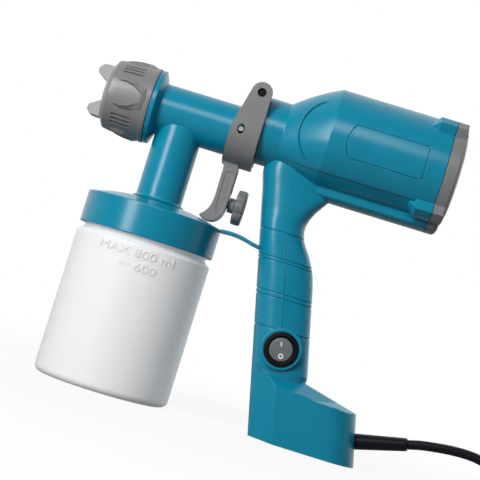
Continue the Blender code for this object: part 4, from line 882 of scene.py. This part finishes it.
def screw(name, place, head, foot_end, node):
    """Pan-head screw with a cross recess; place turns its own Z axis along the screw, head outward."""
    made = turned(name, [(0, head), (0.0018, head - 0.00015), (0.0028, head - 0.0009), (0.003, head - 0.0014),
                         (0.003, head - 0.0023), (0.0013, head - 0.0023), (0.0012, foot_end + 0.001),
                         (0, foot_end)], 32, None, False, 0.0002)
    for across, along in ((0.00175, 0.00038), (0.00038, 0.00175)):
        cut(made, box("cross", (-across, -along, head - 0.0011), (across, along, head + 0.001)))
    made.data.transform(place)
    keep(made, "gun", "steel", node)


def screws():
    """The four screws of the rear cover and the four of the shells."""
    for number, corner in enumerate(CORNERS, 1):
        screw(f"cover_fixing_{number}", cover_screw_axis(*corner), 0.1331, 0.1156, f"cover_screw_{number}")
    for number, (down, back, _) in enumerate(SHELL_SCREWS, 1):
        screw(f"shell_fixing_{number}", across_handle(down, back), 0.0146, -0.0105, f"shell_screw_{number}")


# ---- Barrel, lid and cup ----
def spray_barrel():
    """Barrel with its collar and thread, the neck to the cup and the bore for the needle."""
    outside = [(0.0154, 0.009), (0.0154, BARREL_SHOULDER_X), (BARREL_RADIUS, BARREL_SHOULDER_X),
               (BARREL_RADIUS, -0.0844), (COLLAR_RADIUS, -0.0877), (COLLAR_RADIUS, COLLAR_FRONT_X),
               (0.0241, COLLAR_FRONT_X), (0.0241, -0.112), (0.0205, -0.112), (0.0205, -0.096),
               (0.01, -0.096), (0.01, -0.106), (0.0058, -0.106), (0.0058, -0.096),
               (0.0042, -0.096), (0.0042, -0.044), (0.0028, -0.044), (0.0028, -0.04),
               (0.0092, -0.04), (0.0092, 0.009)]
    barrel = turned("barrel", outside, 128, along_x(SPRAY_Z), True, 0.0005)
    fillet = [(NECK_RADIUS + 0.0022 * (1 - sin(a)), LID_TOP_Z + SEAM + 0.0026 - 0.0022 * cos(a))
              for a in (pi / 2 * i / 6 for i in range(7))]
    neck = turned("neck", [(0, SPRAY_Z - 0.01), (NECK_RADIUS, SPRAY_Z - 0.01), *reversed(fillet[1:]),
                           (0.0196, LID_TOP_Z + SEAM), (0.0088, LID_TOP_Z + SEAM),
                           (0.0088, 0.123), (0, 0.123)], 128, CUP_AXIS, False)
    join(barrel, neck)
    cut(barrel, rod("feed", 0.0036, 0.12, SPRAY_Z, 32, CUP_AXIS),
        rod("tube_socket", 0.0053, 0.12, 0.138, 32, CUP_AXIS),
        box("pin_slot", (CROSS_PIN_X - 0.0026, -0.03, SPRAY_Z - 0.0024),
            (CROSS_PIN_X + 0.0066, 0.03, SPRAY_Z + 0.0024)))
    keep(barrel, "gun", "blue_plastic", "spray_barrel", angle=20)


def cup_lid():
    """Lid: low dome over a skirt that screws on the cup."""
    inner = CUP_NECK_RADIUS + 0.0006
    profile = [(0.0091, LID_TOP_Z), (0.0198, LID_TOP_Z), (0.0206, LID_TOP_Z - 0.0004),
               (0.03, LID_TOP_Z - 0.0016), (0.038, LID_TOP_Z - 0.0031), (0.044, LID_TOP_Z - 0.0048),
               (CUP_RADIUS, LID_EDGE_Z - 0.0002), (CUP_RADIUS, LID_BOTTOM_Z), (inner, LID_BOTTOM_Z),
               (inner, 0.1333), (0.04, 0.1362), (0.02, 0.1388), (0.013, 0.1388), (0.013, 0.129),
               (0.0091, 0.129)]
    keep(turned("lid", profile, 160, CUP_AXIS, True, 0.0009), "gun", "blue_plastic", "cup_lid", angle=20)


def cup():
    """Open cup: necked rim, shoulder, straight wall, rounded foot and dished base."""
    inner = CUP_RADIUS - CUP_WALL
    neck_inner = CUP_NECK_RADIUS - CUP_WALL
    corner = 0.005
    quarter = [pi / 2 * i / 10 for i in range(11)]
    outer_corner = [(CUP_RADIUS - corner + corner * cos(a), corner - corner * sin(a)) for a in quarter]
    inner_corner = [(inner - corner + corner * cos(a), CUP_FLOOR_Z + corner - corner * sin(a))
                    for a in reversed(quarter)]
    shoulder = []
    for i in range(9):
        share = i / 8
        ease = share * share * (3 - 2 * share)
        shoulder.append((CUP_NECK_RADIUS + (CUP_RADIUS - CUP_NECK_RADIUS) * ease,
                         CUP_NECK_Z - (CUP_NECK_Z - CUP_SHOULDER_Z) * share))
    rim = [(neck_inner, 0.11), (neck_inner, CUP_RIM_Z - 0.0006), (neck_inner + 0.0006, CUP_RIM_Z),
           (CUP_NECK_RADIUS - 0.0006, CUP_RIM_Z), (CUP_NECK_RADIUS, CUP_RIM_Z - 0.0006)]
    base = mm((38, 0), (37.2, 0.8), (36, 1.4), (0, 1.4))
    profile = [(0, CUP_FLOOR_Z)] + inner_corner + [(inner, 0.106)] + rim + shoulder + outer_corner + base
    keep(turned("paint_cup", profile, 160, CUP_AXIS, False), "cup", "white_plastic", "cup", angle=24)
    cup_text("max_mark", "MAX 800 ml", -30.5, 33.5, 0.099, 0.0058)
    cup_text("level_mark", "600", 2.6, 20.5, 0.0892, 0.006)
    wrap_on_cup(box("level_dash", (0, 0, 0), (0.0076, 0.0008, 0.0004), 0.0001, 2), -10.2, 0.0918)


def wrap_on_cup(made, start_degrees, base_z):
    """Wrap a flat raised mark, drawn in X and Y with its face up Z, round the cup's near side."""
    for corner in made.data.vertices:
        angle = radians(start_degrees) + corner.co.x / CUP_RADIUS
        radius = CUP_RADIUS - 0.0001 + corner.co.z
        corner.co = (CUP_X + radius * sin(angle), -radius * cos(angle), base_z + corner.co.y)
    keep(made, "cup", "white_plastic", material=MARK)


def cup_text(name, words, start_degrees, end_degrees, base_z, height):
    """Raised volume mark."""
    curve = bpy.data.curves.new(name, "FONT")
    curve.body = words
    curve.size = 1.0
    curve.extrude = 0.02
    curve.bevel_depth = 0.018
    curve.bevel_resolution = 1
    curve.resolution_u = 6
    guide = add_object(name + "_guide", curve)
    mesh = mesh_of(guide)
    bpy.data.objects.remove(guide, do_unlink=True)
    made = add_mesh(name, mesh)
    xs, ys, zs = zip(*(corner.co for corner in mesh.vertices))
    wide = radians(end_degrees - start_degrees) * CUP_RADIUS / (max(xs) - min(xs))
    tall = height / (max(ys) - min(ys))
    for corner in mesh.vertices:
        corner.co = ((corner.co.x - min(xs)) * wide, (corner.co.y - min(ys)) * tall,
                     (corner.co.z - min(zs)) / (max(zs) - min(zs)) * MARK_RISE)
    wrap_on_cup(made, start_degrees, base_z)


def cup_bridge():
    """Arched strap between the lid's rear edge and the front of the handle."""
    rings = []
    section = rounded(mm((-8, -1.3), (8, -1.3), (8, 1.3), (-8, 1.3)), 0.0009)
    for i in range(25):
        share = i / 24
        x = -0.02 + 0.04 * share
        z = 0.1355 + 0.0012 * sin(pi * min(1, share * 1.4)) - 0.004 * share ** 2.5
        rings.append([(x, y, z + rise) for y, rise in section])
    strap = loft("lid_strap", rings)
    cut(strap, rod("lid_clear", CUP_RADIUS + 2 * SEAM, 0.1, 0.15, 96, CUP_AXIS),
        loft("handle_clear", [handle_ring(level, -SEAM) for level in (0.145, 0.135, 0.125)]))
    keep(strap, "gun", "blue_plastic", "cup_bridge")


def suction_pipe():
    """Pickup tube that bends forward to the front corner of the cup."""
    bends = mm((0, 137.6), (0, 120), (0, 95), (3, 78), (11, 60), (24, 36), (33, 19))
    path = smooth_path([Vector((CUP_X - ahead, 0, z)) for ahead, z in bends], 0.004)
    side = Vector((0, 1, 0))
    shape = bmesh.new()
    walls = []
    for radius in TUBE_RADII:
        rows = []
        for i, place in enumerate(path):
            way = (path[min(i + 1, len(path) - 1)] - path[max(i - 1, 0)]).normalized()
            up = way.cross(side)
            rows.append([shape.verts.new(place + (side * cos(a) + up * sin(a)) * radius) for a in around(32)])
        walls.append(rows)
    for rows in walls:
        for first, second in zip(rows, rows[1:]):
            bridge(shape, first, second)
    for end in (0, -1):
        bridge(shape, walls[0][end], walls[1][end])
    keep(shape_object("pickup_tube", shape), "suction_tube", "white_plastic", "suction_tube")


# ---- Spray head ----
def round_spray_axis(degrees):
    """Turns a shape modelled above the spray axis to its place round it; 0 is the near side."""
    return Matrix.Translation((0, 0, SPRAY_Z)) @ Matrix.Rotation(radians(90 - degrees), 4, "X")


def nut_radius(x):
    """Outer radius of the nut between its ridges and slots."""
    return float(np.interp(x, (-0.1255, -0.1233, -0.1174, -0.101, -0.091),
                           (0.0213, 0.0255, 0.0267, 0.0278, 0.028)))


def nut_arrow(middle):
    """Raised arrow-shaped rim round a smooth panel, highest at its inner edge."""
    inner = ((-0.1175, 18.5, 0.0003), (-0.112, 18.8, 0.0016), (-0.107, 16.5, 0.0019), (-0.099, 7.0, 0.0014),
             (-0.0984, 0.0, 0.0012), (-0.099, -7.0, 0.0014), (-0.107, -16.5, 0.0019), (-0.112, -18.8, 0.0016),
             (-0.1175, -18.5, 0.0003))
    outer = ((-0.118, 20.4), (-0.1116, 23.4), (-0.1046, 22.4), (-0.0958, 15.5), (-0.095, 0.0),
             (-0.0958, -15.5), (-0.1046, -22.4), (-0.1116, -23.4), (-0.118, -20.4))
    rings = []
    for (x_in, at_in, proud), (x_out, at_out) in zip(inner, outer):
        ring = []
        for x, degrees, rise in ((x_in, at_in, proud), (x_in, at_in, -0.001),
                                 (x_out, at_out, -0.001), (x_out, at_out, 0.0001)):
            angle = radians(middle + degrees)
            radius = nut_radius(x) + rise
            ring.append((x, -radius * cos(angle), SPRAY_Z + radius * sin(angle)))
        rings.append(ring)
    return loft("nut_arrow", rings)


def retaining_nut():
    """Nut that clamps the air cap, with grip slots in groups of three and raised arrows between."""
    profile = [(0.0281, COLLAR_FRONT_X - 0.0003), (0.0281, -0.0944), (0.0277, -0.0947), (0.0275, -0.101),
               (0.0266, -0.1174), (0.0256, -0.123), (0.0213, NUT_FRONT_X), (0.0204, NUT_FRONT_X + 0.0002),
               (0.0204, -0.1228), (0.0245, -0.1228), (0.0245, COLLAR_FRONT_X - 0.0003)]
    nut = turned("cap_nut", profile, 144, along_x(SPRAY_Z), True, 0.0006)
    for middle in (0, 90, 180, 270):
        join(nut, nut_arrow(middle))
    for group in (45, 135, 225, 315):
        for step in (-1, 0, 1):
            place = round_spray_axis(group + step * NUT_SLOT_PITCH)
            slot = [[(x, -0.0009, low), (x, 0.0009, low), (x, 0.0011, 0.03), (x, -0.0011, 0.03)]
                    for x, low in mm((-116.5, 26), (-115, 25.2), (-103, 25.8), (-101.2, 27.2))]
            cut(nut, loft("nut_slot", slot, place))
    keep(nut, "retaining_nut", "grey_plastic", "retaining_nut", angle=13)


def horn(up):
    """One of the two ears that flatten the spray: a wedge with a bevelled front and a sloping inner face."""
    side = rounded(mm((-120, 6), (-128.4, 6.9), (-136.4, 12.1), (-137, 15), (-136.8, 16), (-133.8, 19.3),
                      (-130, 19.6), (-120, 19.6)), 0.0004, True, 2)
    rings = []
    for share, half in ((0.92, -0.0062), (1.0, -0.0055), (1.0, 0.0055), (0.92, 0.0062)):
        ring = []
        for x, rise in side:
            rise = 0.0128 + (rise - 0.0128) * share
            front = -0.12 + (x + 0.12) * (0.95 + 0.05 * (share - 0.92) / 0.08)
            ring.append((front, half, SPRAY_Z + up * rise))
        rings.append(ring)
    return loft("horn", rings)


def air_cap():
    """Air cap with its centre hole and its two horns."""
    profile = mm((20, -122.4), (20, -126.2), (19.2, -126.8), (8.5, -126.8), (6.2, -129), (2.4, -129),
                 (2.4, -127.6), (6.2, -125), (15, -122.5), (15, -118), (23.6, -118), (23.6, -122.4))
    cap = turned("spray_cap", profile, 112, along_x(SPRAY_Z), True, 0.0005)
    join(cap, horn(1), horn(-1))
    for up in (-1, 1):
        place = Matrix.Translation((-0.1325, 0, SPRAY_Z + up * 0.0095))
        slant = Matrix.Rotation(up * HORN_JET_SLANT, 4, "Y")
        cut(cap, rod("horn_jet", 0.0008, -0.006, 0.004, 16, place @ slant))
    keep(cap, "air_cap", "light_grey_plastic", "air_cap", angle=24)


# ---- Trigger ----
def yoke_section(half_width, bottom, top):
    """A U across the barrel: straight sides over a round bottom, (y, z) points."""
    bend_z = bottom + half_width
    bend = [(half_width * cos(pi * i / 40), bend_z - half_width * sin(pi * i / 40)) for i in range(41)]
    return [(half_width, top)] + bend + [(-half_width, top)]


def trigger():
    """Yoke round the barrel with the finger lever below it, one moulding."""
    outer = yoke_section(YOKE_INNER + YOKE_WALL, 0.1842, 0.26)
    inner = yoke_section(YOKE_INNER, 0.1874, 0.265)
    yoke = loft("trigger_yoke", [[(x, y, z) for y, z in outer] for x in (-0.045, 0.01)])
    cut(yoke, loft("yoke_room", [[(x, y, z) for y, z in inner] for x in (-0.05, 0.015)]))
    side = arc((PIVOT_X, PIVOT_Z), 0.0077, 8, 172, 40)
    side += mm((-30.2, 211), (-30.4, 187), (-29, 180), (-8, 180), (-8, 235))
    combine(yoke, plate("yoke_side", side, 0.04), "INTERSECT")
    lever_side = rounded(mm((-30, 186.2), (-28.4, 184.2), (-27.5, 181), (-27.3, 159), (-27.9, 153),
                            (-29.6, 148.5), (-32.2, 145.3), (-34.9, 142.8), (-32.2, 141.3), (-28, 140.5),
                            (-24.8, 140.8), (-21.8, 142.4), (-19, 145.6), (-17.3, 150), (-16.8, 155),
                            (-16.8, 186.2)), 0.003)
    join(yoke, plate("lever", lever_side, LEVER_HALF_WIDTH, 0.0022))
    pocket = mm((-14, 182), (-21.5, 182), (-21.5, 164), (-14, 164))
    cut(yoke, plate("lever_pocket", rounded(pocket, 0.001), LEVER_HALF_WIDTH - 0.0024))
    for out in (-1, 1):
        panel = rounded(mm((-24.8, 179), (-24.6, 156), (-24, 150), (-21.5, 146.2), (-19.6, 150), (-19.2, 156),
                           (-19.2, 179)), 0.0018)
        recess = plate("lever_panel", panel, 0.001)
        recess.data.transform(Matrix.Translation((0, out * (LEVER_HALF_WIDTH + 0.0007), 0)))
        cut(yoke, recess)
    oval = [(CROSS_PIN_X + 0.0026 * cos(a), SPRAY_Z + 0.0036 * sin(a)) for a in around(40)]
    cut(yoke, rod("screw_hole", 0.003 + PLAY, -0.024, -0.01, 40, along_x(KNOB_Z)),
        rod("pivot_bore", PIN_RADIUS + PLAY, -0.04, 0.04, 40, along_y(PIVOT_X, PIVOT_Z)),
        plate("pin_window", oval, 0.04))
    keep(yoke, "trigger", "grey_plastic", "trigger", angle=24)
    pin_end = YOKE_INNER + PLAY
    pin = rod("pivot_pin", PIN_RADIUS, -pin_end, pin_end, 40, along_y(PIVOT_X, PIVOT_Z), 0.0004)
    keep(pin, "gun", "black_plastic", "trigger_pin")


def flow_control():
    """Screw through the lever and the lobed knob that turns it."""
    profile = mm((0, -8), (2.4, -8), (2.4, -11.9), (5.5, -11.9), (5.5, -16.2), (2.9, -16.2), (2.9, -23.2),
                 (0, -23.2))
    keep(turned("stop_screw", profile, 48, along_x(KNOB_Z), False, 0.0004),
         "flow_screw", "dark_grey_plastic", "flow_screw")
    rings = []
    for x, share in ((-0.0116, 0.84), (-0.0115, 0.9), (-0.0112, 0.955), (-0.0106, 0.985), (-0.0098, 1.0),
                     (-0.0062, 1.0), (-0.0054, 0.985), (-0.0047, 0.955), (-0.0043, 0.9), (-0.0042, 0.84)):
        ring = []
        for angle in around(KNOB_LOBES * 18):
            lobe = abs(cos(KNOB_LOBES * angle / 2)) ** 0.7
            radius = KNOB_RADIUS * share * (0.925 + 0.075 * lobe)
            ring.append((x, radius * sin(angle), KNOB_Z + radius * cos(angle)))
        rings.append(ring)
    knob = loft("adjuster_knob", rings)
    cut(knob, rod("knob_bore", 0.0024 + SEAM, -0.02, -0.0076, 40, along_x(KNOB_Z)))
    cut(knob, turned("knob_dish", mm((0, -4), (8.5, -4), (7.8, -5), (0, -5)), 64, along_x(KNOB_Z), False))
    keep(knob, "flow_knob", "dark_grey_plastic", "flow_knob")


# ---- Switch ----
def switch():
    """Round rocker switch on the near side of the handle, tipped to off, with its two marks."""
    centre = on_handle(SWITCH_DOWN, HANDLE_DEPTH / 2)
    face = -0.0214
    profile = [(0, 0.001), (0.0085, 0.001), (0.011, -0.008), (0.011, -0.0206),
               (SWITCH_BEZEL_RADIUS, -0.0206), (SWITCH_BEZEL_RADIUS - 0.0004, face),
               (0.0098, face - 0.0004), (0.0093, face), (0.0093, -0.012), (0, -0.012)]
    keep(turned("switch_case", profile, 96, along_y(centre.x, centre.z), False, 0.0004),
         "gun", "black_plastic", "switch_body")
    cap = mm((0, -22.6), (6, -22.6), (8.2, -22.2), (8.7, -21.4), (8.7, -16.8), (7, -15), (0, -15))
    hinge = Matrix.Translation((centre.x, ROCKER_HINGE_Y, centre.z))
    tipped = hinge @ Matrix.Rotation(ROCKER_TIP, 4, HANDLE_BACK)
    rocker = turned("rocker_cap", [(radius, y - ROCKER_HINGE_Y) for radius, y in reversed(cap)], 96,
                    tipped @ Matrix.Rotation(-pi / 2, 4, "X"), False, 0.0006)
    keep(rocker, "switch_rocker", "dark_grey_plastic", "switch_rocker")
    mark_face = tipped @ Matrix(((HANDLE_BACK.x, 0, -HANDLE_DOWN.x, 0), (0, 1, 0, 0),
                                 (HANDLE_BACK.z, 0, -HANDLE_DOWN.z, 0), (0, 0, 0, 1)))
    bar = box("on_mark", (-0.0005, -0.00485, 0.0028), (0.0005, -0.0042, 0.006), 0.0001)
    bar.data.transform(mark_face)
    keep(bar, "switch_rocker", "white_plastic", material=MARK)
    ring_profile = mm((2, 4.85), (2, 4.2), (1, 4.2), (1, 4.85))
    ring = turned("off_mark", ring_profile, 40, mark_face @ Matrix.Translation((0, 0, -0.0043)) @
                  Matrix.Rotation(pi / 2, 4, "X"), True)
    keep(ring, "switch_rocker", "white_plastic", material=MARK)


def strain_relief():
    """Tapered boot in the foot's rear wall, ending where the cord leaves it."""
    profile = [(0, RELIEF_LENGTH), (0.0042, RELIEF_LENGTH), (0.0048, RELIEF_LENGTH - 0.0015),
               (0.0058, 0.002), (0.006, SEAM), (GLAND_RADIUS, SEAM), (GLAND_RADIUS, -SHELL_WALL - 4 * SEAM),
               (0.0075, -SHELL_WALL - 4 * SEAM), (0.0075, -0.0064), (0, -0.0064)]
    boot = turned("cord_boot", profile, 64, out_of_foot(FOOT_DEPTH), False, 0.0005)
    return keep(boot, "gun", "black_rubber", "strain_relief")


# ---- Cord ----
def coil_points(per_loop):
    """Centre line of the coil: in along the floor, up a layer, and out again."""
    total = int(round(COIL_TURNS * per_loop))
    half = total / 2
    spread = (COIL_TURNS / 2) * COIL_PITCH / 2
    points = []
    for i in range(total + 1):
        angle = COIL_START + 2 * pi * i / per_loop
        share = abs(i - half) / half
        radius = COIL_MEAN_RADIUS - spread + 2 * spread * share
        climb = (i - half) / (per_loop / 4)
        lift = min(1.0, max(0.0, (climb + 1) / 2))
        lift = lift * lift * (3 - 2 * lift)
        z = CORD_RADIUS + 0.0002 + COIL_PITCH * lift
        points.append(COIL_CENTRE + Vector((radius * cos(angle), radius * sin(angle), z)))
    return points


def cord_line():
    """The whole centre line, from the strain relief to the plug."""
    first = on_handle(RELIEF_DOWN, FOOT_DEPTH + RELIEF_LENGTH) + HANDLE_BACK * SEAM
    coil = coil_points(24)
    entry = (coil[1] - coil[0]).normalized()
    leaving = (coil[-1] - coil[-2]).normalized()
    meet = coil[0] - entry * (2 * CORD_RADIUS + SEAM)
    leave = coil[-1] + leaving * (2 * CORD_RADIUS + SEAM)
    floorward = mm((194.6, 0, 33), (213, -0.5, 32.4), (231, -5, 26.8), (248, -15, 16.5), (265, -28, 8),
                   (285, -41.5, 4.2))
    route = [first, first + HANDLE_BACK * 0.012, *(Vector(place) for place in floorward),
             meet - entry * 0.014 + Vector((0, 0.0012, 0)), meet]
    end = leave + Vector((-0.026, 0.0012, PLUG_HALF_HEIGHT + SEAM - leave.z))
    tail = [leave, leave + leaving * 0.008, end + Vector((0.008, 0, 0)), end]
    return smooth_path(route, CORD_STEP) + coil_points(48) + smooth_path(tail, CORD_STEP)


def make_cord():
    """The cord with its boot, as one curve that stands for the run, the coil and the tail."""
    boot = strain_relief()
    line = cord_line()
    curve = bpy.data.curves.new("cord", "CURVE")
    curve.dimensions = "3D"
    curve.bevel_depth = CORD_RADIUS
    curve.bevel_resolution = 6
    curve.use_fill_caps = True
    spline = curve.splines.new("POLY")
    spline.points.add(len(line) - 1)
    for point, place in zip(spline.points, line):
        point.co = (*place, 1)
    spline.use_smooth = True
    cord = add_object("cord", curve)
    keep(cord, "gun", "black_rubber", "cord_run", "cord_coil", "cord_tail", angle=None)


# ---- Stage ----
def area_light(name, place, aim, size, power):
    """A white rectangular lamp that the camera doesn't see."""
    data = bpy.data.lights.new(name, "AREA")
    data.shape = "RECTANGLE"
    data.size, data.size_y = size
    data.energy = power
    lamp = add_object(name, data)
    lamp.location = place
    lamp.rotation_euler = (Vector(aim) - Vector(place)).to_track_quat("-Z", "Y").to_euler()
    lamp.visible_camera = False
    return lamp


def seen_ray(tree, glossy):
    """1 for camera and transmission rays, and the given share for glossy rays."""
    rays = add_node(tree, "LightPath").outputs
    dimmed = add_node(tree, "Math", {0: rays["Is Glossy Ray"], 1: glossy}, "MULTIPLY").outputs[0]
    first = add_node(tree, "Math", {0: rays["Is Camera Ray"], 1: dimmed}, "MAXIMUM").outputs[0]
    return add_node(tree, "Math", {0: first, 1: rays["Is Transmission Ray"]}, "MAXIMUM").outputs[0]


def make_world():
    """White backdrop behind the object, and a dim room in front of it for its gloss."""
    world = bpy.data.worlds.new("studio")
    bpy.context.scene.world = world
    world.use_nodes = True
    tree = world.node_tree
    tree.nodes.clear()
    seen = add_node(tree, "Background", {"Color": (1, 1, 1, 1), "Strength": 1.0})
    ambient = add_node(tree, "Background", {"Color": (0.96, 0.98, 1.0, 1), "Strength": 0.08})
    split = add_node(tree, "SeparateXYZ", {0: add_node(tree, "TexCoord").outputs["Generated"]})
    room = add_node(tree, "MapRange", {"From Min": -0.35, "From Max": 0.55, "To Min": 0.1, "To Max": 1.0,
                                       "Value": split.outputs["Y"]})
    mix = add_node(tree, "MixShader", {"Fac": seen_ray(tree, room.outputs["Result"]), 1: ambient.outputs[0],
                                       2: seen.outputs[0]})
    add_node(tree, "OutputWorld", {"Surface": mix.outputs[0]})


def make_floor():
    """Pale floor that reads white to the camera, and keeps a faint shadow near the object."""
    mesh = bpy.data.meshes.new("floor")
    half = FLOOR_HALF_WIDTH
    corners = [(-half, -half, 0), (half, -half, 0), (half, half, 0), (-half, half, 0)]
    mesh.from_pydata(corners, [], [(0, 1, 2, 3)])
    floor = add_object("floor", mesh)
    floor.location.z = -0.0002
    made = bpy.data.materials.new("floor")
    made.use_nodes = True
    tree = made.node_tree
    tree.nodes.clear()
    bounce = add_node(tree, "BsdfDiffuse", {"Color": (0.15, 0.15, 0.15, 1)})
    pale = add_node(tree, "BsdfDiffuse", {"Color": (0.85, 0.85, 0.85, 1)})
    backdrop_and_painted_glow = add_node(tree, "Emission", {"Strength": 1.0})
    away = add_node(tree, "VectorMath", {0: add_node(tree, "TexCoord").outputs["Object"]}, "LENGTH")
    fade = add_node(tree, "MapRange", {"From Min": 0.2, "From Max": 0.6, "To Min": 0.88, "To Max": 1.0,
                                       "Value": away.outputs["Value"]})
    near_white = add_node(tree, "MixShader", {"Fac": fade.outputs["Result"], 1: pale.outputs[0],
                                              2: backdrop_and_painted_glow.outputs[0]})
    mix = add_node(tree, "MixShader", {"Fac": seen_ray(tree, 0.2), 1: bounce.outputs[0],
                                       2: near_white.outputs[0]})
    add_node(tree, "OutputMaterial", {"Surface": mix.outputs[0]})
    mesh.materials.append(made)


def make_lights():
    """Two strips to the front left that the gloss shows, and two soft fills that it doesn't."""
    middle = (0.0, 0.0, 0.16)
    area_light("left_strip", (-0.77, -1.12, 0.62), middle, (0.42, 1.15), 14)
    area_light("front_strip", (-0.36, -1.17, 0.86), (-0.36, 0.0, 0.17), (1.1, 0.42), 6.2)
    area_light("rear_fill", (0.15, 1.25, 0.85), middle, (1.2, 1.0), 8).visible_glossy = False
    area_light("side_fill", (1.15, 0.75, 0.5), middle, (0.9, 0.9), 9).visible_glossy = False


bpy.context.scene.view_settings.view_transform = "Standard"
make_camera()
dress_cad_nodes()
make_cord()
housing()
rear_cover()
screws()
spray_barrel()
cup_lid()
cup()
cup_bridge()
suction_pipe()
retaining_nut()
air_cap()
trigger()
flow_control()
switch()
make_world()
make_floor()
make_lights()
